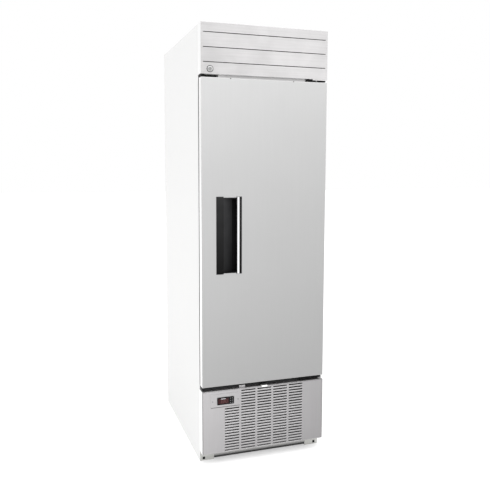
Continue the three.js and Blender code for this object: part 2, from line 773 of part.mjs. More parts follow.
// Finned coils: a comb profile, fins across the air path, with an end plate on each side.
const EVAPORATOR = { x: [-190, 190], depth: [420, 540], z: [1790, 1935], groove: 12 };
const CONDENSER = { x: [-115, 265], depth: [78, 140], z: [TRAY_TOP, 335], groove: 10 };
const FINS = 20;
const END_PLATE = 4;
function coil({ x: [x0, x1], depth: [d0, d1], z, groove }) {
  const pitch = (x1 - END_PLATE - x0) / FINS;
  const front = [];
  for (let index = 0; index < FINS; index += 1) {
    const x = x0 + index * pitch;
    front.push([x, d0], [x + pitch / 2, d0], [x + pitch / 2, d0 + groove], [x + pitch, d0 + groove]);
  }
  front.push([x1 - END_PLATE, d0], [x1, d0], [x1, d1], [x0, d1]);
  return alongZ(front, z);
}
add("evaporator_coil", coil(EVAPORATOR), ALUMINIUM, 0.8, 0.4);
add("condenser_coil", coil(CONDENSER), BLACK, 0.3, 0.5);

// The room fan's motor hangs from an arm that stands on the cover.
const fanTop = ROOM_AXIS.z + ROOM_FAN.thickness / 2;
const motorZ = [fanTop + 6, fanTop + 6 + ROOM_MOTOR.length];
const armTop = motorZ[1] - ROOM_MOTOR.sheet;
const armDepth = around(ROOM_AXIS.depth, ROOM_MOTOR.half);
const armLeg = [ROOM_MOTOR.arm - ROOM_MOTOR.sheet, ROOM_MOTOR.arm];
plastic(
  "evaporator_fan_motor",
  join(
    rodZ(ROOM_MOTOR.radius, motorZ, ROOM_AXIS.x, ROOM_AXIS.depth),
    rodZ(SHAFT, [fanTop - 8, motorZ[0] + 4], ROOM_AXIS.x, ROOM_AXIS.depth, 16),
    box(span(ROOM_MOTOR.arm), armDepth, [armTop, motorZ[1]]),
    box([-armLeg[1], -armLeg[0]], armDepth, [COVER.low + 2, motorZ[1]]),
    box(armLeg, armDepth, [COVER.low + 2, motorZ[1]]),
  ),
  GREY,
);
plastic(
  "evaporator_fan",
  fan(ROOM_FAN).translate(ROOM_AXIS.x, FRONT + ROOM_AXIS.depth, ROOM_AXIS.z),
);
add(
  "interior_light",
  box(span(LAMP.half), LAMP.depth, [COVER.low - GAP - LAMP.height, COVER.low - GAP]),
  0xfafaf2,
  0,
  0.3,
);

// Condensing unit in the machine space.
const SHROUD = { x: [-117, 267], depth: [140 + GAP, 200], z: [TRAY_TOP, 337], ring: 6 };
add(
  "condenser_shroud",
  cut(
    box(SHROUD.x, SHROUD.depth, SHROUD.z),
    box(shrink(SHROUD.x, SHEET), [SHROUD.depth[0] - 1, SHROUD.depth[1] - SHEET], shrink(SHROUD.z, SHEET)),
    rodY(UNIT_FAN.tip + SHROUD.ring, around(SHROUD.depth[1], 10), UNIT_AXIS.x, UNIT_AXIS.z, 40),
  ),
  ZINC,
  0.7,
  0.5,
);
const motorFront = UNIT_AXIS.depth + UNIT_MOTOR.gap;
const motorBack = motorFront + UNIT_MOTOR.length;
const strapBack = motorBack + 1;
const strapZ = around(UNIT_AXIS.z, UNIT_MOTOR.half);
const strapLegs = [SHROUD.depth[1] + GAP, strapBack];
plastic(
  "condenser_fan_motor",
  join(
    rodY(UNIT_MOTOR.radius, [motorFront, motorBack], UNIT_AXIS.x, UNIT_AXIS.z),
    rodY(SHAFT, [UNIT_AXIS.depth + 5, motorFront + 4], UNIT_AXIS.x, UNIT_AXIS.z, 16),
    box(SHROUD.x, [strapBack - UNIT_MOTOR.sheet, strapBack], strapZ),
    box([SHROUD.x[0], SHROUD.x[0] + UNIT_MOTOR.sheet], strapLegs, strapZ),
    box([SHROUD.x[1] - UNIT_MOTOR.sheet, SHROUD.x[1]], strapLegs, strapZ),
  ),
  GREY,
);
plastic(
  "condenser_fan",
  fan(UNIT_FAN)
    .rotateX(-Math.PI / 2)
    .translate(UNIT_AXIS.x, FRONT + UNIT_AXIS.depth, UNIT_AXIS.z),
);
const crownZ = SHELL.z[1] - SHELL.shoulder;
const shellRod = (lower, z, upper) => rodZ(lower, z, SHELL_AXIS.x, SHELL_AXIS.depth, 24, upper);
const feet = around(SHELL_AXIS.x, FOOT.x).flatMap((x) =>
  around(SHELL_AXIS.depth, FOOT.depth).map((d) => rodZ(FOOT.radius, [TRAY_TOP, FOOT.top], x, d, 8)),
);
plastic(
  "compressor",
  join(
    shellRod(SHELL.radius - SHELL.heel, [SHELL.z[0], SHELL.middle[0]], SHELL.radius),
    shellRod(SHELL.radius, SHELL.middle, SHELL.radius),
    shellRod(SHELL.radius, [SHELL.middle[1], crownZ], SHELL.radius - SHELL.shoulder),
    shellRod(SHELL.radius - SHELL.shoulder, [crownZ, SHELL.z[1]], SHELL.crown),
    box(
      around(SHELL_AXIS.x, MOUNT_PLATE.half),
      around(SHELL_AXIS.depth, MOUNT_PLATE.halfDepth),
      MOUNT_PLATE.z,
    ),
    box(
      TERMINAL_BOX.x.map((x) => SHELL_AXIS.x + x),
      around(SHELL_AXIS.depth, TERMINAL_BOX.half),
      TERMINAL_BOX.z,
    ),
    ...feet,
  ),
);
zinc(
  "condensate_pan",
  cut(
    box(PAN.x, PAN.depth, [TRAY_TOP, PAN.top]),
    box(shrink(PAN.x, PAN.wall), shrink(PAN.depth, PAN.wall), [TRAY_TOP + PAN.wall, PAN.top + 1]),
  ),
);

export default group;
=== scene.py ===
import json
import math

import bmesh
import bpy
from mathutils import Matrix, Vector
from mathutils.bvhtree import BVHTree


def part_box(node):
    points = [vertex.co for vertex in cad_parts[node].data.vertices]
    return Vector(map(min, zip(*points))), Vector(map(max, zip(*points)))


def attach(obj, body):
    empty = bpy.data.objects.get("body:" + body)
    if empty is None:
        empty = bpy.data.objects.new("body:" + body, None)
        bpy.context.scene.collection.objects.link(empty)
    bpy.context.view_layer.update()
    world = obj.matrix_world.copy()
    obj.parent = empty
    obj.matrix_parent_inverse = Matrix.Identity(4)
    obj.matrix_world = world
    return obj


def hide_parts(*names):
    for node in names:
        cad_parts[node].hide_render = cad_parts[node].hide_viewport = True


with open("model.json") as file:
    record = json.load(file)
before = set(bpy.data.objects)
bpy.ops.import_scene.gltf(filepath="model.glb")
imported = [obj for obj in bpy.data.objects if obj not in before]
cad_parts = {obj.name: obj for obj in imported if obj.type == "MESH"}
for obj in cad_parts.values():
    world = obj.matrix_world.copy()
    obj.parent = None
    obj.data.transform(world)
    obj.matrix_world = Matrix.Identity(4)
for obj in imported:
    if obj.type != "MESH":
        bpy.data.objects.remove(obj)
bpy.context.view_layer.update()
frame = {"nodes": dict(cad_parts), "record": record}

nodes = frame["nodes"]
homes = {n: b for b, members in frame["record"]["behaviour"]["bodies"].items() for n in members}
slots = {s["node"]: s["material_slot"] for s in frame["record"]["subparts"]}
scene = bpy.context.scene
pivots = {j["name"]: Vector(j["pos_m"]) for j in frame["record"]["behaviour"]["joints"]
          if "pos_m" in j}

# Lengths are in millimetres; mesh coordinates and the widths of bevels are in metres, as Blender has them.
MM = 0.001
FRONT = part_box("door_skin")[0].y
GRILLE_TOP = 354  # top edge of the grille's front sheet; only its screw ear stands higher
ON_PLANE = 2e-5  # metres that a vertex may lie off a plane and still count as on it


def at(x, depth, z):
    """A point in millimetres, depth measured back from the front plane."""
    return Vector((x * MM, FRONT + depth * MM, z * MM))


def extent(node):
    """A node's box in millimetres: its (low, high) in x, in depth and in z."""
    low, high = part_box(node)
    depth = ((low.y - FRONT) / MM, (high.y - FRONT) / MM)
    return (low.x / MM, high.x / MM), depth, (low.z / MM, high.z / MM)


DOOR_X, _, DOOR_Z = extent("door_skin")


# ---------------------------------------------------------------- materials
class Shader:
    """A node material on one Principled shader, with short helpers to add and join nodes."""

    def __init__(self, name):
        self.material = bpy.data.materials.new(name)
        self.material.use_nodes = True
        self.tree = self.material.node_tree
        self.bsdf = self.tree.nodes["Principled BSDF"]
        self.coord = self.add("ShaderNodeTexCoord").outputs["Object"]

    def add(self, kind, links=(), **settings):
        node = self.tree.nodes.new(kind)
        for key, value in settings.items():
            setattr(node, key, value)
        for socket, value in dict(links).items():
            self.put(node.inputs[socket], value)
        return node

    def put(self, socket, value):
        if isinstance(value, bpy.types.NodeSocket):
            self.tree.links.new(value, socket)
        else:
            socket.default_value = value

    def noise(self, scale, detail=3.0, stretch=None, rough=0.5):
        vector = self.coord
        if stretch:
            vector = self.add("ShaderNodeMapping", {"Vector": vector, "Scale": stretch}).outputs[0]
        links = {"Vector": vector, "Scale": scale, "Detail": detail, "Roughness": rough}
        return self.add("ShaderNodeTexNoise", links).outputs["Fac"]

    def span(self, value, low, high, to_low=0.0, to_high=1.0):
        """The value's range low to high stretched to another range."""
        links = {"Value": value, "From Min": low, "From Max": high, "To Min": to_low, "To Max": to_high}
        return self.add("ShaderNodeMapRange", links).outputs["Result"]

    def math(self, kind, a, b=0.0):
        node = self.add("ShaderNodeMath", operation=kind)
        self.put(node.inputs[0], a)
        self.put(node.inputs[1], b)
        return node.outputs[0]

    def mix(self, factor, a, b, blend="MIX"):
        node = self.add("ShaderNodeMix", data_type="RGBA", blend_type=blend)
        self.put(node.inputs[0], factor)
        self.put(node.inputs[6], a)
        self.put(node.inputs[7], b)
        return node.outputs[2]

    def height(self, low, high):
        """0 at the height low, 1 at high, in metres."""
        z = self.add("ShaderNodeSeparateXYZ", {"Vector": self.coord}).outputs["Z"]
        return self.span(z, low, high)

    def across(self):
        """The position from left to right, in metres."""
        return self.add("ShaderNodeSeparateXYZ", {"Vector": self.coord}).outputs["X"]

    def edges(self, radius):
        """1 along sharp outer edges and corners, 0 on flat faces."""
        rounded = self.add("ShaderNodeBevel", {"Radius": radius}, samples=4).outputs[0]
        true = self.add("ShaderNodeNewGeometry").outputs["Normal"]
        dot = self.add("ShaderNodeVectorMath", operation="DOT_PRODUCT")
        self.put(dot.inputs[0], rounded)
        self.put(dot.inputs[1], true)
        return self.span(dot.outputs["Value"], 0.995, 0.86)

    def bump(self, height, strength, distance):
        links = {"Height": height, "Strength": strength, "Distance": distance}
        self.put(self.bsdf.inputs["Normal"], self.add("ShaderNodeBump", links).outputs[0])


def shade(rgb, gain=1.0):
    return tuple(min(1.0, c * gain) for c in rgb) + (1.0,)


def surface(name, rgb, rough, metallic=0.0, grain=400.0, stretch=None, tone=0.05, blotch=2.5,
            play=0.06, bump=0.15, depth=0.0003, wear=None, wear_radius=0.0015, low=None, right=None,
            **fixed):
    """A material with fine grain and broad blotches in its colour and roughness.

    tone and play say how far colour and roughness vary, grain and blotch are the two noise scales, and wear
    is the colour of rubbed edges. low = (gain, height, height) darkens towards the lower height, in metres,
    and right is the gain at the right side.
    """
    s = Shader(name)
    fine = s.noise(grain, 2.0, stretch)
    broad = s.noise(blotch, 4.0)
    both = s.math("ADD", s.math("MULTIPLY", fine, 0.5), s.math("MULTIPLY", broad, 0.5))
    color = s.mix(s.span(both, 0.36, 0.64), shade(rgb, 1.0 - tone), shade(rgb, 1.0 + tone))
    roughness = s.span(both, 0.3, 0.7, rough - play, rough + play)
    # low and right paint shade into the colour: darker towards the lower height and towards the right side
    if low:
        gain = s.span(s.height(low[1], low[2]), 0.0, 1.0, low[0], 1.0)
        color = s.mix(1.0, color, gain, "MULTIPLY")
    if right:
        gain = s.span(s.across(), DOOR_X[0] * MM, DOOR_X[1] * MM, 1.0, right)
        color = s.mix(1.0, color, gain, "MULTIPLY")
    if wear:
        worn = s.math("MULTIPLY", s.edges(wear_radius), s.span(s.noise(60.0, 4.0), 0.35, 0.6))
        color = s.mix(s.math("MULTIPLY", worn, 0.7), color, shade(wear))
    s.put(s.bsdf.inputs["Base Color"], color)
    s.put(s.bsdf.inputs["Roughness"], roughness)
    s.bsdf.inputs["Metallic"].default_value = metallic
    for socket, value in fixed.items():
        s.bsdf.inputs[socket.replace("_", " ")].default_value = value
    s.bump(fine, bump, depth)
    return s.material


BRUSH = (900.0, 900.0, 5.0)
ACROSS = (5.0, 900.0, 900.0)
# door_steel: painted shade, darker towards the bottom (low) and towards the right side (right)
door_steel = surface("door_steel", (0.57, 0.57, 0.57), 0.40, metallic=0.85, grain=1.0, stretch=BRUSH,
                     tone=0.025, blotch=1.2, play=0.05, bump=0.06, depth=0.0001, wear=(0.9, 0.9, 0.9),
                     wear_radius=0.002, low=(0.65, 0.38, 1.78), right=0.9)
canopy_steel = surface("canopy_steel", (0.54, 0.532, 0.534), 0.40, metallic=0.85, grain=1.0,
                       stretch=ACROSS, tone=0.09, blotch=9.0, play=0.05, bump=0.06, depth=0.0001,
                       wear=(0.9, 0.9, 0.9), wear_radius=0.002)
# grille_steel: painted shade, darker towards the bottom and towards the right side
grille_steel = surface("grille_steel", (0.45, 0.44, 0.446), 0.38, metallic=0.85, grain=1.0,
                       stretch=BRUSH, blotch=2.2, play=0.05, bump=0.06, depth=0.0001,
                       wear=(0.8, 0.8, 0.8), wear_radius=0.001, low=(0.90, 0.05, 0.35), right=0.72)
# return_lit_steel: a lighter copy of the door steel for the folded sides, a painted reflection of the light
# from the left; right=0.62 paints the right-hand sides in shade
return_lit_steel = surface("return_lit_steel", (0.93, 0.93, 0.93), 0.3, metallic=0.95, grain=1.0,
                       stretch=BRUSH, tone=0.03, blotch=2.0, play=0.05, bump=0.05, depth=0.0001,
                       right=0.62)
# edge_shade_steel: dark steel, painted shade on the grille's rolled border
edge_shade_steel = surface("edge_shade_steel", (0.14, 0.135, 0.137), 0.5, metallic=0.6, grain=1.0, stretch=BRUSH,
                     tone=0.10, blotch=4.0, play=0.05, bump=0.1, depth=0.0001, Specular_IOR_Level=0.3)
# shade_steel: near-black steel that paints the shade in the canopy's grooves and round the lock's bezel
shade_steel = surface("shade_steel", (0.05, 0.05, 0.05), 0.6, metallic=0.3, grain=1.0,
                       stretch=ACROSS, tone=0.15, blotch=4.0, play=0.05, bump=0.1, depth=0.0001,
                       Specular_IOR_Level=0.2)
# lip_highlight_steel: a lighter copy of the grille steel, painted highlight on the slot lips; darker to the
# right as painted shade
lip_highlight_steel = surface("lip_highlight_steel", (0.80, 0.79, 0.795), 0.3, metallic=0.9, grain=1.0, stretch=ACROSS,
                    tone=0.04, blotch=3.0, play=0.05, bump=0.05, depth=0.0001, right=0.85)
plug_steel = surface("plug_steel", (0.34, 0.34, 0.34), 0.40, metallic=0.9, grain=1.0, stretch=ACROSS,
                     blotch=2.0, bump=0.06, depth=0.0001)
inner_steel = surface("inner_steel", (0.66, 0.66, 0.66), 0.36, metallic=0.9, grain=1.0, stretch=ACROSS,
                      blotch=2.0, bump=0.06, depth=0.0001, wear=(0.85, 0.85, 0.85))
# white_paint: right=0.90 paints the right-hand side in shade
white_paint = surface("white_paint", (0.70, 0.70, 0.697), 0.5, grain=260.0, tone=0.012, blotch=1.4,
                      play=0.05, bump=0.10, wear=(0.95, 0.95, 0.94), right=0.90,
                      Specular_IOR_Level=0.3)
liner_white = surface("liner_white", (0.84, 0.85, 0.85), 0.36, grain=180.0, tone=0.02, blotch=2.0,
                      play=0.05, bump=0.10, wear=(0.95, 0.95, 0.95))
door_liner = surface("door_liner", (0.57, 0.575, 0.575), 0.36, grain=180.0, tone=0.02, blotch=2.0,
                     play=0.05, bump=0.10, wear=(0.85, 0.85, 0.85))
black_plastic = surface("black_plastic", (0.012, 0.012, 0.013), 0.48, grain=1400.0, tone=0.25,
                        blotch=14.0, play=0.08, bump=0.25, depth=0.00012, wear=(0.05, 0.05, 0.053),
                        wear_radius=0.001, Specular_IOR_Level=0.28)
# handle_black: painted shade, darker towards the bottom
handle_black = surface("handle_black", (0.020, 0.020, 0.0205), 0.5, grain=1400.0, tone=0.2,
                       blotch=14.0, play=0.08, bump=0.25, depth=0.00012, low=(0.15, 0.90, 1.26),
                       Specular_IOR_Level=0.08)
# slope_lit_black: a lighter copy of the handle black for the pocket's slope, painted light, also darker
# towards the bottom as painted shade
slope_lit_black = surface("slope_lit_black", (0.034, 0.034, 0.0355), 0.5, grain=1400.0, tone=0.2, blotch=14.0,
                      play=0.08, bump=0.25, depth=0.00012, low=(0.3, 0.90, 1.26),
                      Specular_IOR_Level=0.08)
deep_black = surface("deep_black", (0.006, 0.006, 0.0065), 0.6, grain=1000.0, tone=0.25, blotch=14.0,
                     play=0.08, bump=0.2, depth=0.00012, wear=(0.03, 0.03, 0.03), wear_radius=0.0008,
                     Specular_IOR_Level=0.12)
# pocket_shade_black: near-black that paints the shade in the deep part of the handle pocket
pocket_shade_black = surface("pocket_shade_black", (0.0035, 0.0035, 0.004), 0.7, grain=1400.0, tone=0.25,
                       blotch=14.0, play=0.08, bump=0.25, depth=0.00012, Specular_IOR_Level=0.08)
black_paint = surface("black_paint", (0.016, 0.016, 0.018), 0.4, grain=700.0, tone=0.2, blotch=18.0,
                      play=0.08, bump=0.2, depth=0.0002, wear=(0.14, 0.14, 0.145), wear_radius=0.0008,
                      Specular_IOR_Level=0.35)
grey_plastic = surface("grey_plastic", (0.24, 0.245, 0.25), 0.5, grain=1200.0, tone=0.12, blotch=20.0,
                       bump=0.2, depth=0.0001, wear=(0.4, 0.4, 0.41), wear_radius=0.0006)
white_plastic = surface("white_plastic", (0.86, 0.86, 0.84), 0.45, grain=900.0, tone=0.03, blotch=8.0,
                        bump=0.12, depth=0.0001, wear=(0.95, 0.95, 0.94))
gasket_rubber = surface("gasket_rubber", (0.030, 0.030, 0.032), 0.7, grain=600.0, tone=0.15,
                        blotch=9.0, bump=0.3, depth=0.0002, Specular_IOR_Level=0.3)
chrome = surface("chrome", (0.76, 0.76, 0.77), 0.14, metallic=1.0, grain=90.0, tone=0.02, blotch=12.0,
                 play=0.04, bump=0.03, depth=0.0001)
wire_chrome = surface("wire_chrome", (0.78, 0.79, 0.80), 0.22, metallic=1.0, grain=300.0, tone=0.06,
                      blotch=14.0, play=0.08, bump=0.08, depth=0.0001)
copper = surface("copper", (0.72, 0.36, 0.22), 0.32, metallic=1.0, grain=120.0, tone=0.18, blotch=10.0,
                 play=0.1, bump=0.06, depth=0.0001)
aluminium = surface("aluminium", (0.66, 0.68, 0.70), 0.38, metallic=0.95, grain=500.0,
                    stretch=(6.0, 1.0, 1.0), tone=0.08, blotch=6.0, play=0.08, bump=0.1, depth=0.0001)
dark_fins = surface("dark_fins", (0.05, 0.052, 0.055), 0.45, metallic=0.6, grain=500.0,
                    stretch=(6.0, 1.0, 1.0), tone=0.2, blotch=6.0, play=0.08, bump=0.1, depth=0.0001)
lens_red = surface("lens_red", (0.044, 0.020, 0.021), 0.2, grain=50.0, tone=0.3, blotch=60.0,
                   play=0.03, bump=0.02, depth=0.0001, Specular_IOR_Level=0.04)
foam_yellow = surface("foam_yellow", (0.78, 0.68, 0.42), 0.9, grain=500.0, tone=0.12, blotch=30.0,
                      play=0.05, bump=0.6, depth=0.0008)
# kick_steel: painted shade, near-black towards its lower edge
kick_steel = surface("kick_steel", (0.62, 0.615, 0.61), 0.4, metallic=0.3, grain=1.0, stretch=ACROSS,
                     tone=0.04, blotch=3.0, bump=0.08, depth=0.0001, low=(0.02, 0.012, 0.030))
rail_zinc = surface("rail_zinc", (0.50, 0.50, 0.48), 0.45, metallic=0.7, grain=160.0, tone=0.08,
                    blotch=12.0, play=0.08, bump=0.10, depth=0.0002)


def zinc():
    """Galvanised sheet: crystal spangle in cells, each with its own grey."""
    s = Shader("galvanised")
    cells = s.add("ShaderNodeTexVoronoi", {"Vector": s.coord, "Scale": 75.0})
    tone = s.add("ShaderNodeSeparateColor", {"Color": cells.outputs["Color"]}).outputs[0]
    mixed = s.math("ADD", s.math("MULTIPLY", tone, 0.35), s.math("MULTIPLY", s.noise(3.0, 5.0), 0.65))
    s.put(s.bsdf.inputs["Base Color"],
          s.mix(s.span(mixed, 0.25, 0.75), (0.47, 0.48, 0.48, 1), (0.64, 0.645, 0.64, 1)))
    s.put(s.bsdf.inputs["Roughness"], s.span(mixed, 0.3, 0.7, 0.36, 0.56))
    s.bsdf.inputs["Metallic"].default_value = 0.75
    s.bump(tone, 0.08, 0.0002)
    return s.material


def lamp_white():
    """Ribbed diffuser that glows softly."""
    s = Shader("lamp_diffuser")
    level = s.add("ShaderNodeTexWave", {"Vector": s.coord, "Scale": 60.0}).outputs["Fac"]
    s.put(s.bsdf.inputs["Base Color"], s.mix(level, (0.86, 0.87, 0.88, 1), (0.95, 0.95, 0.94, 1)))
    s.put(s.bsdf.inputs["Roughness"], s.span(level, 0, 1, 0.25, 0.45))
    s.bsdf.inputs["Emission Color"].default_value = (1.0, 0.98, 0.94, 1)
    s.bsdf.inputs["Emission Strength"].default_value = 2.0
    s.bump(level, 0.3, 0.001)
    return s.material


def glow(name, rgb, strength):
    s = Shader(name)
    level = s.noise(900.0)
    s.put(s.bsdf.inputs["Base Color"], s.mix(level, shade(rgb, 0.8), shade(rgb)))
    s.put(s.bsdf.inputs["Roughness"], s.span(level, 0, 1, 0.3, 0.5))
    s.bsdf.inputs["Emission Color"].default_value = shade(rgb)
    s.bsdf.inputs["Emission Strength"].default_value = strength
    s.bump(level, 0.05, 0.0001)
    return s.material


galvanised = zinc()
lamp_diffuser = lamp_white()
led_red = glow("led_red", (0.11, 0.03, 0.03), 0.03)
mark_white = glow("mark_white", (0.75, 0.75, 0.77), 0.05)
# mark_grey: a faint glow on the printed key marks, painted light; the keys hold no lamp
mark_grey = glow("mark_grey", (0.30, 0.30, 0.31), 0.02)

looks = {
    "door_skin": door_steel, "canopy_panel": canopy_steel, "grille_panel": grille_steel,
    "controller_plate": grille_steel, "face_frame": white_paint, "kick_plate": kick_steel,
    "side_panel_left": white_paint, "side_panel_right": white_paint, "inner_liner": liner_white,
    "door_inner_panel": door_liner, "grille_clip": white_plastic, "interior_light": lamp_diffuser,
    "handle_trim": chrome, "door_gasket": gasket_rubber, "controller_lens": lens_red,
    "foam_insulation": foam_yellow, "door_foam": foam_yellow, "evaporator_coil": aluminium,
    "condenser_coil": dark_fins, "base_rail_left": rail_zinc, "base_rail_right": rail_zinc,
}
by_slot = {"stainless_inner": inner_steel, "galvanised": galvanised, "shelf_wire": wire_chrome,
           "black_plastic": black_plastic, "grey_plastic": grey_plastic,
           "motor_black": black_paint, "hinge_black": black_paint}
for name, obj in nodes.items():
    for held in obj.material_slots:
        held.material = looks.get(name) or by_slot[slots[name]]


# ---------------------------------------------------------------- mesh helpers
def piece(name, mesh, body, material, replaced=()):
    """An object that rides on a body; material is one material or a list by face index."""
    obj = bpy.data.objects.new(name, mesh)
    scene.collection.objects.link(obj)
    for one in material if isinstance(material, (list, tuple)) else [material]:
        mesh.materials.append(one)
    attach(obj, body)
    if replaced:
        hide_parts(*replaced)
    return obj


def smooth(obj, angle=35.0):
    """Smooth shading that stays sharp at edges over the angle in degrees."""
    for face in obj.data.polygons:
        face.use_smooth = True
    obj.data.set_sharp_from_angle(angle=math.radians(angle))
    obj.modifiers.new("even", "WEIGHTED_NORMAL").keep_sharp = True
    return obj


def ease(obj, width=0.0003, segments=2, angle=50):
    """A small bevel, in metres, on every edge over the angle in degrees."""
    modifier = obj.modifiers.new("ease", "BEVEL")
    modifier.width, modifier.segments = width, segments
    modifier.limit_method, modifier.angle_limit = "ANGLE", math.radians(angle)
    return obj


def to_mesh(name, bm):
    mesh = bpy.data.meshes.new(name)
    bmesh.ops.recalc_face_normals(bm, faces=bm.faces)
    bm.to_mesh(mesh)
    bm.free()
    return mesh


def copy_of(node):
    """The CAD node's mesh with its flat faces joined up again."""
    bm = bmesh.new()
    bm.from_mesh(nodes[node].data)
    bmesh.ops.remove_doubles(bm, verts=bm.verts, dist=1e-5)
    bmesh.ops.dissolve_limit(bm, angle_limit=math.radians(1), verts=bm.verts, edges=bm.edges)
    return bm


def edges_on(bm, planes, count=2):
    """Edges that lie in at least count of the planes, each given as (axis, value)."""
    chosen = []
    for edge in bm.edges:
        hits = [p for p in planes if all(abs(v.co[p[0]] - p[1]) < 3e-5 for v in edge.verts)]
        if len(hits) >= count:
            chosen.append(edge)
    return chosen


def round_off(bm, edges, offset, segments=4):
    bmesh.ops.bevel(bm, geom=edges, offset=offset, segments=segments, profile=0.5,
                    affect="EDGES", clamp_overlap=True)


def box_planes(node, skip=()):
    """The six planes of the node's box, without those in skip, given as (axis, end)."""
    low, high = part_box(node)
    return [(axis, side[axis]) for axis in range(3) for end, side in enumerate((low, high))
            if (axis, end) not in skip]


def cut_across(bm, point, normal):
    """New edges where the plane crosses the mesh; nothing is removed."""
    everything = bm.verts[:] + bm.edges[:] + bm.faces[:]
    bmesh.ops.bisect_plane(bm, geom=everything, plane_co=point, plane_no=normal)


def tag(bm, index, test):
    """Gives a material index to the faces that pass the test of normal and centre."""
    bm.normal_update()
    for face in bm.faces:
        if test(face.normal, face.calc_center_median()):
            face.material_index = index


def bridge(bm, one, two):
    """A band of faces between two loops that have equally many vertices."""
    for k in range(len(one)):
        m = (k + 1) % len(one)
        bm.faces.new((one[k], one[m], two[m], two[k]))


def form(node, bm, material=None, fine=0.0003, angle=35.0):
    """The finished piece that stands for a CAD node."""
    obj = piece(node + "_form", to_mesh(node + "_form", bm), homes[node],
                material or nodes[node].material_slots[0].material, [node])
    if fine:
        ease(obj, fine)
    return smooth(obj, angle)


def soften(node, fine=0.0003, outer=0.0, skip=(), steps=4, material=None):
    """The CAD node's own form with its edges eased by fine and its box edges rounded by outer."""
    bm = copy_of(node)
    if outer:
        round_off(bm, edges_on(bm, box_planes(node, skip)), outer, steps)
    return form(node, bm, material, fine)


def facing(centre, axis):
    """The matrix that moves a form drawn along z at the origin to the centre, along the axis."""
    turn = Vector((0, 0, 1)).rotation_difference(Vector(axis)).to_matrix().to_4x4()
    return Matrix.Translation(centre) @ turn


def lathe(name, profile, centre, axis, sides=32):
    """Closed turned form: profile is [(radius, distance along the axis), ...] in millimetres."""
    bm = bmesh.new()
    angles = [2 * math.pi * k / sides for k in range(sides)]
    rings = []
    for radius, along in profile:
        if radius < 1e-6:
            rings.append([bm.verts.new((0, 0, along * MM))])
            continue
        rings.append([bm.verts.new((radius * MM * math.cos(a), radius * MM * math.sin(a), along * MM))
                      for a in angles])
    closed = profile[0] == profile[-1]
    if closed:
        for vert in rings.pop():
            bm.verts.remove(vert)
        rings.append(rings[0])
    for one, two in zip(rings, rings[1:]):
        for k in range(sides):
            m = (k + 1) % sides
            corners = [one[k % len(one)], one[m % len(one)], two[m % len(two)], two[k % len(two)]]
            distinct = list(dict.fromkeys(corners))
            if len(distinct) > 2:
                bm.faces.new(distinct)
    if not closed:
        for ring in (rings[0], rings[-1]):
            if len(ring) > 2:
                bm.faces.new(ring)
    bm.transform(facing(centre, axis))
    return to_mesh(name, bm)


def rods(name, lines, radius, sides=8):
    """One mesh of round rods; a line is a list of points (x, depth, z), closed if it ends where it starts."""
    bm = bmesh.new()
    for line in lines:
        points = [at(*point) for point in line]
        closed = (points[0] - points[-1]).length < 1e-6
        if closed:
            points.pop()
        count = len(points)
        rings = []
        turn = None
        for index, point in enumerate(points):
            before = points[index - 1] if closed or index else points[0]
            after = points[(index + 1) % count] if closed or index < count - 1 else points[-1]
            way = (after - before).normalized()
            if turn is None:
                turn = Vector((0, 0, 1)).rotation_difference(way)
            else:
                turn = last.rotation_difference(way) @ turn
            last = way
            ring = []
            for k in range(sides):
                angle = 2 * math.pi * k / sides
                offset = turn @ Vector((math.cos(angle), math.sin(angle), 0)) * radius * MM
                ring.append(bm.verts.new(point + offset))
            rings.append(ring)
        if closed:
            rings.append(rings[0])
        for one, two in zip(rings, rings[1:]):
            bridge(bm, one, two)
        if not closed:
            bm.faces.new(rings[0])
            bm.faces.new(list(reversed(rings[-1])))
    return to_mesh(name, bm)


def circle(x, depth, z, radius, steps=32):
    """A closed level circle of points."""
    points = []
    for k in range(steps + 1):
        angle = 2 * math.pi * (k % steps) / steps
        points.append((x + radius * math.cos(angle), depth + radius * math.sin(angle), z))
    return points


def add_boxes(bm, boxes):
    """Adds boxes, each given as its (low, high) in x, in depth and in z."""
    for x, d, z in boxes:
        low, high = at(x[0], d[0], z[0]), at(x[1], d[1], z[1])
        made = bmesh.ops.create_cube(bm, size=1.0)["verts"]
        bmesh.ops.scale(bm, vec=high - low, verts=made)
        bmesh.ops.translate(bm, vec=(low + high) / 2, verts=made)
    return bm


def blocks(name, boxes):
    return to_mesh(name, add_boxes(bmesh.new(), boxes))


def screws(name, spots, body, axis=(0, -1, 0), radius=4.0, material=None):
    """Pan-head screws with a socket, all in one piece; spots are where the heads sit."""
    profile = [(radius, 0), (radius, 0.6), (radius * 0.82, 1.5), (radius * 0.5, 1.9),
               (radius * 0.36, 1.9), (radius * 0.3, 0.8), (0, 0.8)]
    bm = bmesh.new()
    for spot in spots:
        bm.from_mesh(lathe(name, profile, at(*spot), axis, 16))
    return smooth(piece(name, to_mesh(name, bm), body, material or inner_steel))


def frame_sweep(bm, profile, x, z):
    """A closed profile of (inset, depth) carried round the upright rectangle x by z."""
    loops = []
    for inset, depth in profile:
        left, right, low, high = x[0] + inset, x[1] - inset, z[0] + inset, z[1] - inset
        corners = ((left, low), (right, low), (right, high), (left, high))
        loops.append([bm.verts.new(at(cx, depth, cz)) for cx, cz in corners])
    for one, two in zip(loops, loops[1:] + loops[:1]):
        bridge(bm, one, two)
    return bm


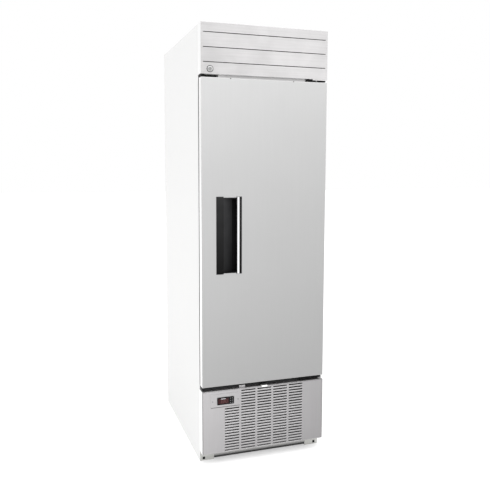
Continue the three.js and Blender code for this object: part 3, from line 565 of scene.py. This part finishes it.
# ---------------------------------------------------------------- door skin and canopy
BACK = [(1, 1)]  # the rear plane of a box, as (axis, end)
BEND = 0.003  # outer radius of the folded front edges, in metres
STEEL_RETURN = 35  # depth to which the door's side returns are steel; behind it they are black rubber, painted shade of the gap to the cabinet
GROOVE_FLOOR = 5.0  # depth of the canopy's pressed grooves, in CAD 0.8
DEEPER = ((0.8, GROOVE_FLOOR), (1.5, 6.2))  # CAD depth and depth here of groove floor and sheet back
FOLD = 1.5  # thickness of the folded strips under the canopy
OVERLAP = 0.2  # how far those strips reach into the canopy
MIDDLE_STRIP_X = (-222, 202)
HINGE_STRIP_X = (231, 303)


def returned(normal, centre):
    """Faces of the folded sides, which look left or right."""
    return abs(normal.x) > 0.9


def in_groove(normal, centre):
    """Faces inside the canopy's grooves, apart from the walls that look up; they get painted shade."""
    depth = (centre.y - FRONT) / MM
    amid = abs(normal.x) < 0.5 and abs(centre.x) < 0.1
    return 0.5 < depth < GROOVE_FLOOR + 0.1 and amid and normal.z < 0.5


bm = copy_of("door_skin")
round_off(bm, edges_on(bm, box_planes("door_skin", BACK)), BEND)
seam = at(0, STEEL_RETURN, 0)
cut_across(bm, seam, (0, 1, 0))
tag(bm, 1, returned)
# Painted shade: behind the seam the returns take the black gasket rubber.
tag(bm, 2, lambda n, c: returned(n, c) and c.y > seam.y)
form("door_skin", bm, [door_steel, return_lit_steel, gasket_rubber])

bm = copy_of("canopy_panel")
for vert in bm.verts:
    depth = (vert.co.y - FRONT) / MM
    for cad_depth, new_depth in DEEPER:
        if abs(depth - cad_depth) < 0.02:
            vert.co.y = FRONT + new_depth * MM
# Painted shade: the groove floors and the walls that look down take the near-black steel.
tag(bm, 1, in_groove)
lowest = extent("canopy_panel")[2][0]
# Painted light: the canopy's underside takes white paint so that the gap above the door reads lighter.
tag(bm, 3, lambda n, c: n.z < -0.9 and c.z < at(0, 0, lowest + 7).z)
round_off(bm, edges_on(bm, box_planes("canopy_panel", BACK)), BEND)
tag(bm, 2, returned)
add_boxes(bm, [(MIDDLE_STRIP_X, (18, 18 + FOLD), (DOOR_Z[1] + 1.5, lowest + OVERLAP)),
               (HINGE_STRIP_X, (1, 1 + FOLD), (lowest - 5, lowest + OVERLAP))])
form("canopy_panel", bm, [canopy_steel, shade_steel, return_lit_steel, white_paint], 0.0004)


# ---------------------------------------------------------------- grille
SHEET = 1.5
ROLL = 3  # outer radius of the grille's rolled border
BORDER = 15  # depth of that border
LEDGE = 48  # how far back the return along the top reaches
EAR_X, EAR_DEPTH = (-123, -93), 12  # the screw ear that stands above the front sheet
SIDE_MARGIN = 15  # side faces this close to the left or right end are the outer returns
SLOT_SILL = 70.5  # length of the straight lower edge of a slot
LIP_RADIUS, LIP_DEPTH, LIP_DROP = 1.2, 0.4, 0.8  # rolled lip along that edge


def front_sheet(node, thick, inset):
    """The CAD node's front sheet rebuilt in clean rectangles round its holes, inset at its border."""
    cad = copy_of(node)
    tree = BVHTree.FromBMesh(cad)
    front = [v.co for v in cad.verts if abs(v.co.y - FRONT) < ON_PLANE]
    lines = [sorted({round(co[axis] / MM, 2) for co in front}) for axis in (0, 2)]
    cad.free()
    for line in lines:
        line[0], line[-1] = line[0] + inset, line[-1] - inset
    xs, zs = lines

    def solid(i, k):
        if not (0 <= i < len(xs) - 1 and 0 <= k < len(zs) - 1):
            return False
        start = at((xs[i] + xs[i + 1]) / 2, -1, (zs[k] + zs[k + 1]) / 2)
        return tree.ray_cast(start, Vector((0, 1, 0)), (1 + thick) * MM)[0] is not None

    bm = bmesh.new()
    made = {}

    def corner(i, k, depth):
        if (i, k, depth) not in made:
            made[i, k, depth] = bm.verts.new(at(xs[i], depth, zs[k]))
        return made[i, k, depth]

    for i in range(len(xs) - 1):
        for k in range(len(zs) - 1):
            if not solid(i, k):
                continue
            ring = [(i, k), (i + 1, k), (i + 1, k + 1), (i, k + 1)]
            for depth in (0, thick):
                bm.faces.new([corner(*c, depth) for c in ring])
            beside = [(i, k - 1), (i + 1, k), (i, k + 1), (i - 1, k)]
            for n, other in enumerate(beside):
                if not solid(*other):
                    a, b = ring[n], ring[(n + 1) % 4]
                    bm.faces.new((corner(*a, 0), corner(*b, 0), corner(*b, thick), corner(*a, thick)))
    return bm


(left, right), (_, side_end), (foot, ear_top) = extent("grille_panel")
front_z = (foot, GRILLE_TOP)
bm = front_sheet("grille_panel", SHEET, ROLL)
quarter = [math.pi / 2 * k / 4 for k in range(5)]
border = [(ROLL - ROLL * math.sin(a), ROLL - ROLL * math.cos(a)) for a in quarter]
border += [(0, BORDER), (SHEET, BORDER), (SHEET, ROLL), (ROLL, SHEET)]
frame_sweep(bm, border, (left, right), front_z)
add_boxes(bm, [
    ((left, left + SHEET), (BORDER, side_end), front_z),
    ((right - SHEET, right), (BORDER, side_end), front_z),
    ((left + SHEET, right - SHEET), (BORDER, LEDGE), (GRILLE_TOP - SHEET, GRILLE_TOP)),
    (EAR_X, (EAR_DEPTH, EAR_DEPTH + SHEET), (GRILLE_TOP - SHEET / 2, ear_top)),
])
tag(bm, 1, lambda n, c: returned(n, c) and abs(c.x) > (right - SIDE_MARGIN) * MM)
# Painted shade: the slanted faces of the rolled border take the dark steel.
tag(bm, 2, lambda n, c: 0.1 < abs(n.x) < 0.95 and c.y < FRONT + ROLL * MM)
form("grille_panel", bm, [grille_steel, return_lit_steel, edge_shade_steel], 0.00025)

# ---------------------------------------------------------------- cabinet outside
KICK_SHADE = 34  # height above which the kick plate is painted black, as painted shade behind the grille slots
CLIP_SPLIT = GRILLE_TOP + 3  # height above which the grille clip is black
SHADE_STRIP_DEPTH = (-0.9, -0.1)  # black strip under the controller plate, painted shade under its lower edge


def split_by_height(node, height, below, above):
    """The node's own form in one material below the height and another above it."""
    bm = copy_of(node)
    split = at(0, 0, height)
    cut_across(bm, split, (0, 0, 1))
    tag(bm, 1, lambda n, c: c.z > split.z)
    form(node, bm, [below, above])


soften("side_panel_left", 0.0002, 0.001)
soften("side_panel_right", 0.0002, 0.001)
split_by_height("kick_plate", KICK_SHADE, kick_steel, black_paint)
for node in ("top_panel", "back_panel", "rear_grille", "face_frame", "sill_trim",
             "base_rail_left", "base_rail_right", "base_rail_rear"):
    soften(node)
split_by_height("grille_clip", CLIP_SPLIT, white_plastic, black_plastic)
soften("controller_plate")

(left, right), _, (foot, _) = extent("controller_plate")
shade_strip = [((left + 1, right - 1), SHADE_STRIP_DEPTH, (foot - 2.6, foot - 0.3))]
smooth(ease(piece("controller_plate_shade_strip", blocks("controller_plate_shade_strip", shade_strip), "cabinet",
                  black_plastic)))

# Rolled lips along the lower edges of the grille slots, in a lighter steel that paints their highlight.
cad = copy_of("grille_panel")
lips = []
for edge in cad.edges:
    ends = [vert.co for vert in edge.verts]
    sill = any(face.normal.z > 0.9 for face in edge.link_faces)
    in_front = all(end.y < FRONT + ON_PLANE for end in ends)
    if sill and in_front and abs(edge.calc_length() / MM - SLOT_SILL) < 0.5:
        lips.append([(end.x / MM, LIP_DEPTH, end.z / MM - LIP_DROP) for end in ends])
cad.free()
smooth(piece("grille_slot_lips", rods("grille_slot_lips", lips, LIP_RADIUS, 6), "cabinet",
             lip_highlight_steel), 60)

# ---------------------------------------------------------------- door
DIKE_X, DIKE_Z = (-0.258, 0.258), (0.412, 1.746)  # the raised field of the inner panel, in metres
DIKE_ROUND = 0.0045  # metres
GASKET_LEFT = 4.9  # how much wider the gasket is on the left than in CAD; its black fills the gap beside the door as painted shade
GASKET_DEEPER = 1.2  # how much deeper the rear of its left side reaches
HOLLOW_X = (-0.1625, -0.1215)  # the deep part of the handle pocket, in metres
HOLLOW_DEPTH, SLOPE_DEPTH = 6, 2  # depths beyond which the pocket counts as its deep part or its slope
TRIM_STEPS = 8  # faces across the dished front of the handle trim
DISH = 0.55  # share of the trim's depth that the dish takes
DOOR_SCREW_X = (-168, 135)

bm = copy_of("door_inner_panel")
dike = [(1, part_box("door_inner_panel")[1].y)] + [(0, x) for x in DIKE_X] + [(2, z) for z in DIKE_Z]
round_off(bm, edges_on(bm, dike), DIKE_ROUND, 5)
form("door_inner_panel", bm)

(left, right), (d0, d1), upright = extent("door_gasket")
gasket = [(1, d0), (16, d0), (16, d0 + 1.5), (12.5, d0 + 2.6), (15, d0 + 4.2), (16.6, d0 + 5.8),
          (16.6, d1 - 0.6), (15.8, d1), (2.2, d1), (1.2, d1 - 0.6), (0.4, d1 - 2.4), (2.4, d0 + 3.4),
          (0.2, d0 + 1.6)]
ring = frame_sweep(bmesh.new(), gasket, (left - GASKET_LEFT, right), upright)
left_rear = at(DOOR_X[0] + 15, 50, 0)
for vert in ring.verts:
    if vert.co.x < left_rear.x and vert.co.y > left_rear.y:
        vert.co.y += GASKET_DEEPER * MM
obj = piece("door_gasket_form", to_mesh("door_gasket_form", ring), "door", gasket_rubber,
            ["door_gasket"])
smooth(ease(obj, 0.0004))

bm = copy_of("handle_pocket")
# Painted shade in the deep part of the pocket and painted light on its slope.
tag(bm, 1, lambda n, c: c.y > FRONT + HOLLOW_DEPTH * MM and HOLLOW_X[0] < c.x < HOLLOW_X[1])
tag(bm, 2, lambda n, c: c.y > FRONT + SLOPE_DEPTH * MM and n.x > 0.1 and n.y < -0.3)
form("handle_pocket", bm, [handle_black, pocket_shade_black, slope_lit_black], 0.0006)

(left, right), (face, rear), upright = extent("handle_trim")
outline = [(left + (right - left) * k / TRIM_STEPS,
            face + (rear - face) * DISH * abs(2 * k / TRIM_STEPS - 1) ** 3) for k in range(TRIM_STEPS + 1)]
outline += [(right, rear), (left, rear)]
bm = bmesh.new()
foot_loop, top_loop = ([bm.verts.new(at(x, d, z)) for x, d in outline] for z in upright)
bridge(bm, foot_loop, top_loop)
bm.faces.new(foot_loop)
bm.faces.new(list(reversed(top_loop)))
form("handle_trim", bm, chrome, 0.0004)
screws("door_top_screws", [(x, 0, DOOR_Z[1] - 3) for x in DOOR_SCREW_X], "door", radius=2.4,
       material=black_paint)

soften("lock_strike", 0.0008, material=deep_black)
soften("hinge_bush_top")
soften("hinge_bush_bottom")

# ---------------------------------------------------------------- lock
FLANGE_RADIUS = 12.0  # beyond it the housing's face is its dark flange, near-black steel as painted shade round the bezel
plug = (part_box("lock_plug")[0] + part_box("lock_plug")[1]) / 2
rings = [(11, -0.3), (15, -0.3), (15, 0.9), (14.2, 1.5), (13.2, 1.6), (12.8, 0.9), (12.2, 0.9),
         (11.8, 1.9), (10.8, 2.5), (9.2, 2.5), (8.5, 1.9), (8.4, -21), (11, -21), (11, -0.3)]
housing = lathe("lock_housing_form", rings, Vector((plug.x, FRONT, plug.z)), (0, -1, 0), 40)
obj = piece("lock_housing_form", housing, "cabinet", [inner_steel, shade_steel],
            ["lock_housing"])
for poly in obj.data.polygons:
    reach = math.hypot(poly.center.x - plug.x, poly.center.z - plug.z)
    poly.material_index = 1 if reach > FLANGE_RADIUS * MM else 0
smooth(obj)
soften("lock_plug", 0.0004, material=plug_steel)
soften("lock_cam", 0.0005)

# ---------------------------------------------------------------- hinges
PIN_SCREW = (253, 8, 1791)

soften("hinge_bracket_top", 0.0008, material=deep_black)
soften("hinge_bracket_bottom", 0.0008, material=deep_black)
screws("hinge_pin_screw", [PIN_SCREW], "cabinet", radius=2.4, material=white_plastic)

# ---------------------------------------------------------------- controller
DIGIT_WIDTH, DIGIT_HEIGHT, STROKE = 10.5, 16, 2.0
DIGIT_STEP = 13.5  # from one digit to the next
SHOWN = ("bc", "abcdg", "abcdef")  # lit segments of the number on the display
PLATE_SCREW_X, PLATE_SCREW_Z = (-256, -132), 304.5
EAR_SCREW = (-108, EAR_DEPTH, 359.5)
HOUSING_ROUND = 0.0025  # metres

bm = copy_of("controller_housing")
low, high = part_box("controller_housing")
corner = [(0, low.x), (0, high.x), (2, low.z), (2, high.z)]
round_off(bm, [e for e in edges_on(bm, corner) if min(v.co.y for v in e.verts) < FRONT], HOUSING_ROUND)
form("controller_housing", bm, deep_black, 0.0004)
soften("controller_lens", 0.0005)
lens_x, (lens_face, _), lens_z = extent("controller_lens")


def digit(x, z, lit):
    """Boxes of a seven-segment digit with its lower left corner at x, z."""
    far, top, middle = x + DIGIT_WIDTH, z + DIGIT_HEIGHT, z + DIGIT_HEIGHT / 2
    bars = {
        "a": ((x, far), (top - STROKE, top)),
        "b": ((far - STROKE, far), (middle, top)),
        "c": ((far - STROKE, far), (z, middle)),
        "d": ((x, far), (z, z + STROKE)),
        "e": ((x, x + STROKE), (z, middle)),
        "f": ((x, x + STROKE), (middle, top)),
        "g": ((x, far), (middle - STROKE / 2, middle + STROKE / 2)),
    }
    return [(bars[s][0], (lens_face - 0.12, lens_face + 0.3), bars[s][1]) for s in lit]


lit_boxes = [box for n, lit in enumerate(SHOWN)
             for box in digit(lens_x[0] + 6 + DIGIT_STEP * n, lens_z[0] + 3.5, lit)]
piece("controller_digits", blocks("controller_digits", lit_boxes), "cabinet", led_red)
bar = [((lens_x[0] + 13, lens_x[1] - 15), (lens_face - 0.1, lens_face + 0.3),
        (lens_z[1] - 3.4, lens_z[1] - 1.4))]
piece("controller_light_bar", blocks("controller_light_bar", bar), "cabinet", mark_white)
for node in ("key_set", "key_power", "key_down", "key_defrost", "key_up", "key_light"):
    soften(node, 0.0002, 0.0009, BACK, 3, black_plastic)
    low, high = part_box(node)
    mid = (low + high) / 2
    dot = lathe(node + "_mark", [(0, -0.1), (1.5, -0.1), (1.5, 0.02), (0, 0.05)],
                Vector((mid.x, low.y, mid.z)), (0, -1, 0), 16)
    piece(node + "_mark", dot, homes[node], mark_grey)
plate_face = extent("controller_plate")[1][0]
screws("controller_screws", [(x, plate_face, PLATE_SCREW_Z) for x in PLATE_SCREW_X], "cabinet", radius=3.2,
       material=grey_plastic)
screws("grille_screws", [EAR_SCREW], "cabinet", radius=3.2)

# ---------------------------------------------------------------- storage space
ROOM_X, ROOM_Z = (-0.2525, 0.2525), (0.410, 1.955)  # inside of the liner, in metres
ROOM_REAR = 783.1  # depth of its rear wall
ROOM_ROUND, LAMP_ROUND = 0.010, 0.009  # metres
RIM, WIRE, BAR = 2.5, 1.6, 2.9  # radii of the shelf's rods
WIRE_DROP, BAR_DROP, BAR_END = 2, 7.2, 15  # below the shelf's top, and in from its sides
RIM_CORNER = [(2.5, 10), (4, 4), (10, 2.5)]  # points of a rounded rim corner, inset from the box
WIRE_GAPS = 22
GUARD_RADII, GUARD_BARS, GUARD_WIRE = (22, 44, 66, 88, 110), 8, 1.3  # wire guard under the room's fan

bm = copy_of("inner_liner")
room = [(0, x) for x in ROOM_X] + [(2, z) for z in ROOM_Z] + [(1, FRONT + ROOM_REAR * MM)]
round_off(bm, edges_on(bm, room), ROOM_ROUND, 5)
form("inner_liner", bm)


def shelf(node):
    """Wire shelf: rim with rounded corners, wires front to back and three bars under them."""
    (_, half), (front, rear), (_, top) = extent(node)
    turned = RIM_CORNER[::-1]
    rim = [(-half + a, front + b, top - RIM) for a, b in RIM_CORNER]
    rim += [(half - a, front + b, top - RIM) for a, b in turned]
    rim += [(half - a, rear - b, top - RIM) for a, b in RIM_CORNER]
    rim += [(-half + a, rear - b, top - RIM) for a, b in turned]
    inner = half - RIM
    xs = [-inner + 2 * inner * k / WIRE_GAPS for k in range(1, WIRE_GAPS)]
    wires = [[(x, front + RIM, top - WIRE_DROP), (x, rear - RIM, top - WIRE_DROP)] for x in xs]
    depths = (front + 3, (front + rear) / 2, rear - 3)
    bars = [[(x, d, top - BAR_DROP) for x in (-half + BAR_END, half - BAR_END)] for d in depths]
    bm = bmesh.new()
    bm.from_mesh(rods("rim", [rim + rim[:1]], RIM, 10))
    bm.from_mesh(rods("wires", wires, WIRE, 8))
    bm.from_mesh(rods("bars", bars, BAR, 10))
    obj = piece(node + "_form", to_mesh(node + "_form", bm), homes[node], wire_chrome, [node])
    smooth(obj, 50)


for node in ("shelf_lower", "shelf_middle", "shelf_upper"):
    shelf(node)
for node in ("pilaster_front_left", "pilaster_front_right", "pilaster_rear_left", "pilaster_rear_right"):
    soften(node, 0.0004)
soften("evaporator_cover", 0.0008)
bm = copy_of("interior_light")
round_off(bm, edges_on(bm, box_planes("interior_light", [(2, 1)])), LAMP_ROUND, 5)
form("interior_light", bm, None, 0.0)

room_shaft = pivots["room_fan_spin"]
guard_x, guard_depth = room_shaft.x / MM, (room_shaft.y - FRONT) / MM
guard_z = extent("evaporator_cover")[2][0] - 2.5
guard = [circle(guard_x, guard_depth, guard_z, radius) for radius in GUARD_RADII]
for k in range(GUARD_BARS):
    angle = k * 2 * math.pi / GUARD_BARS + 0.3
    guard.append([(guard_x + reach * math.cos(angle), guard_depth + reach * math.sin(angle), guard_z)
                  for reach in (GUARD_RADII[0], GUARD_RADII[-1] + 2)])
smooth(piece("room_fan_guard", rods("room_fan_guard", guard, GUARD_WIRE, 6), "cabinet", wire_chrome), 60)


# ---------------------------------------------------------------- fans
BLADE_STEPS = 6  # steps of a blade from root to tip, and from edge to edge
ROOT = 3  # how far a blade starts inside the hub
SHAFT_HOLE = 4.4


def blade_side(bm, start, way, hub, tip, pitch, width):
    """A blade's upper face (way 1) or lower face (way -1), as rows of vertices from root to tip."""
    rows = []
    for i in range(BLADE_STEPS + 1):
        out = i / BLADE_STEPS
        radius = hub - ROOT + (tip - hub + ROOT) * out
        lean = pitch * (1.15 - 0.45 * out)
        chord = width * (0.62 + 0.38 * math.sin(math.pi * min(1, out * 0.9 + 0.1)))
        row = []
        for j in range(BLADE_STEPS + 1):
            across = j / BLADE_STEPS - 0.5
            arch = (0.25 - across * across) * 4
            up = chord * across * math.sin(lean) + 1.2 * arch + way * (0.2 + 0.8 * arch)
            turn = start + chord * across * math.cos(lean) / max(radius, hub) + 0.18 * out
            row.append(bm.verts.new(Vector((radius * math.cos(turn), radius * math.sin(turn), up)) * MM))
        rows.append(row)
    for row, after in zip(rows, rows[1:]):
        for j in range(BLADE_STEPS):
            bm.faces.new((row[j], row[j + 1], after[j + 1], after[j]))
    return rows


def outer_loop(rows):
    """The vertices round the edge of a grid of rows, in order."""
    return (rows[0] + [row[-1] for row in rows[1:]] + rows[-1][-2::-1]
            + [row[0] for row in rows[-2:0:-1]])


def fan(node, centre, axis, hub, tip, blades, thickness, pitch, width):
    """Cambered blades that twist from hub to tip, on a domed hub with a hole for the shaft."""
    bm = bmesh.new()
    for blade in range(blades):
        start = 2 * math.pi * blade / blades
        lower, upper = (outer_loop(blade_side(bm, start, way, hub, tip, pitch, width)) for way in (-1, 1))
        bridge(bm, upper, lower)
    h = thickness / 2
    bm.from_mesh(lathe("hub", [(0, -h), (hub * 0.5, -h), (hub * 0.86, -h * 0.86), (hub, -h * 0.5),
                               (hub, h * 0.9), (hub * 0.95, h), (SHAFT_HOLE, h), (SHAFT_HOLE, h * 0.2),
                               (0, h * 0.2)],
                       Vector((0, 0, 0)), (0, 0, 1), 32))
    bm.transform(facing(centre, axis))
    form(node, bm, black_plastic, 0.0)


# Both fans are centred on their joints: five blades are not symmetric, so a fan's box can lie off its shaft.
fan("evaporator_fan", pivots["room_fan_spin"], (0, 0, 1), hub=24, tip=98, blades=5, thickness=24,
    pitch=0.42, width=46)
fan("condenser_fan", pivots["unit_fan_spin"], (0, 1, 0), hub=28, tip=94, blades=4, thickness=26,
    pitch=0.5, width=50)

# ---------------------------------------------------------------- cooling parts
COIL_END = 12  # from the end of a coil's box to its end plate, where the tubes turn back
FIN, END_PLATE, TUBE = 0.5, 1.5, 3.2  # thickness of fin and end plate, radius of the tubes


def finned(node, material, fins, tubes, tube_material):
    """Thin fins with end plates, and two columns of tubes that turn back outside the plates."""
    (left, right), (d0, d1), (z0, z1) = extent(node)
    first, last = left + COIL_END, right - COIL_END
    step = (last - first) / fins
    sheets = [(first + k * step, first + k * step + FIN) for k in range(fins + 1)]
    sheets += [(x, x + END_PLATE) for x in (first - 2, last)]
    plates = blocks(node + "_form", [(x, (d0, d1), (z0, z1)) for x in sheets])
    piece(node + "_form", plates, homes[node], material, [node])
    heights = [z0 + (z1 - z0) * (k + 0.5) / tubes for k in range(tubes)]
    lines = []
    for column in range(2):
        depth = d0 + (d1 - d0) * (0.28 + 0.44 * column)
        lines += [[(first, depth, z), (last, depth, z)] for z in heights]
        for k, (za, zb) in enumerate(zip(heights, heights[1:])):
            x, way = (last, 1) if k % 2 else (first, -1)
            lines.append([(x, depth, za), (x + way * 5, depth, za + 1), (x + way * 8.6, depth, (za + zb) / 2),
                          (x + way * 5, depth, zb - 1), (x, depth, zb)])
    smooth(piece(node + "_tubes", rods(node + "_tubes", lines, TUBE, 8), homes[node], tube_material), 60)


finned("evaporator_coil", aluminium, 62, 5, copper)
finned("condenser_coil", dark_fins, 70, 9, black_paint)
soften("condenser_shroud", 0.0006)
soften("condensate_pan", 0.0006)
soften("evaporator_fan_motor", 0.0008)
soften("condenser_fan_motor", 0.0008)

# The compressor's box runs from the left end of its base to the right end of its terminal box.
BASE_HALF_X, BASE_HALF_DEPTH, TERMINAL_HALF = 100, 82, 32
FOOT_X, FOOT_DEPTH = 80, 65
SHELL = [(0, 100), (40, 100), (60, 103), (78, 114), (86, 128), (88, 140), (88, 190), (91.5, 191),
         (91.5, 196), (88, 197), (88, 246), (86, 258), (80, 269), (68, 279), (50, 286), (28, 289.5), (0, 290)]
FOOT = [(0, 77.7), (13, 77.7), (14, 80), (11, 85), (14, 90), (12, 94), (0, 94)]
(base_left, terminal_right), (shell_front, shell_rear), _ = extent("compressor")
cx, cd = base_left + BASE_HALF_X, (shell_front + shell_rear) / 2
bm = bmesh.new()
bm.from_mesh(lathe("shell", SHELL, at(cx, cd, 0), (0, 0, 1), 40))
bm.from_mesh(blocks("base", [
    ((base_left, cx + BASE_HALF_X), (cd - BASE_HALF_DEPTH, cd + BASE_HALF_DEPTH), (92, 102)),
    ((cx + 70, terminal_right), (cd - TERMINAL_HALF, cd + TERMINAL_HALF), (160, 230)),
]))
for x in (-FOOT_X, FOOT_X):
    for d in (-FOOT_DEPTH, FOOT_DEPTH):
        bm.from_mesh(lathe("foot", FOOT, at(cx + x, cd + d, 0), (0, 0, 1), 20))
form("compressor", bm, black_paint, 0.001)

to_condenser = [(cx, cd - 60, 282), (cx, cd - 60, 310), (cx + 20, cd - 90, 318), (cx + 60, cd - 150, 318),
                (cx + 60, 220, 318), (cx + 60, 215, 318)]
to_evaporator = [(cx - 50, cd + 60, 250), (cx - 60, cd + 90, 300), (cx - 60, cd + 160, 330),
                 (cx - 60, cd + 300, 345), (cx - 60, cd + 330, 352)]
smooth(piece("refrigerant_pipes", rods("refrigerant_pipes", [to_condenser, to_evaporator], 4.0, 10),
             "cabinet", copper), 60)

# ---------------------------------------------------------------- base and back
HOLE_SHADE_X, HOLE_SHADE_HALF = 285, 5.7  # black blocks in the front holes of the base rails, painted shade of the holes
BACK_SCREW_X = (-290, 290)
PANEL_SCREW_Z, GRILLE_SCREW_Z = (400, 800, 1200, 1600, 1995), (100, 240, 360)
rail_front = extent("base_rail_right")[1][0]
hole_shades = [((side - HOLE_SHADE_HALF, side + HOLE_SHADE_HALF), (rail_front + 0.6, rail_front + 1.8), (5.8, 18.2))
         for side in (-HOLE_SHADE_X, HOLE_SHADE_X)]
piece("rail_hole_shades", blocks("rail_hole_shades", hole_shades), "cabinet", deep_black)

seat = extent("back_panel")[1][1] - 0.9
spots = [(x, seat, z) for z in PANEL_SCREW_Z for x in BACK_SCREW_X]
spots += [(x, seat, z) for x in BACK_SCREW_X for z in GRILLE_SCREW_Z]
screws("rear_screws", spots, "cabinet", (0, 1, 0))

# ---------------------------------------------------------------- stage, light, camera
FLOOR_HALF = 30  # metres
EYE = (-0.9667, -3.0341, 1.3900)
YAW, PITCH, ROLL_ANGLE = (math.radians(degrees) for degrees in (18.33, -5.74, 0.13))

floor = bpy.data.meshes.new("floor")
floor.from_pydata([(x * FLOOR_HALF, y * FLOOR_HALF, 0) for x, y in ((-1, -1), (1, -1), (1, 1), (-1, 1))],
                  [], [(0, 1, 2, 3)])
ground = bpy.data.objects.new("floor", floor)
scene.collection.objects.link(ground)
pale = Shader("floor_paper")
pale.put(pale.bsdf.inputs["Base Color"],
         pale.mix(pale.noise(1.5), (0.65, 0.65, 0.65, 1), (0.67, 0.67, 0.67, 1)))
pale.bsdf.inputs["Roughness"].default_value = 0.8
pale.bsdf.inputs["Specular IOR Level"].default_value = 0.0
pale.bsdf.inputs["Emission Color"].default_value = (1, 1, 1, 1)
pale.bsdf.inputs["Emission Strength"].default_value = 0.35
floor.materials.append(pale.material)

world = bpy.data.worlds.new("studio")
scene.world = world
world.use_nodes = True
world.node_tree.nodes["Background"].inputs["Color"].default_value = (1, 1, 1, 1)
world.node_tree.nodes["Background"].inputs["Strength"].default_value = 1.0


def sky_lamp(name, azimuth, elevation, strength):
    """Broad, soft light from far away; azimuth 0 is in front of the object, positive to its right."""
    data = bpy.data.lights.new(name, "SUN")
    data.energy, data.angle = strength, math.radians(70)
    lamp = bpy.data.objects.new(name, data)
    scene.collection.objects.link(lamp)
    a, e = math.radians(azimuth), math.radians(elevation)
    way = Vector((math.sin(a) * math.cos(e), -math.cos(a) * math.cos(e), math.sin(e)))
    lamp.rotation_euler = way.to_track_quat("Z", "Y").to_euler()


sky_lamp("front_left", -50, 50, 1.0)
sky_lamp("front_right", 45, 45, 1.2)

camera = bpy.data.cameras.new("camera")
camera.sensor_width = 36.0
camera.lens = 44.34
camera.shift_y = -0.035
eye = bpy.data.objects.new("camera", camera)
scene.collection.objects.link(eye)
eye.matrix_world = (Matrix.Translation(EYE) @ Matrix.Rotation(-YAW, 4, "Z")
                    @ Matrix.Rotation(math.pi / 2 + PITCH, 4, "X") @ Matrix.Rotation(ROLL_ANGLE, 4, "Z"))
scene.camera = eye
scene.view_settings.view_transform = "Standard"
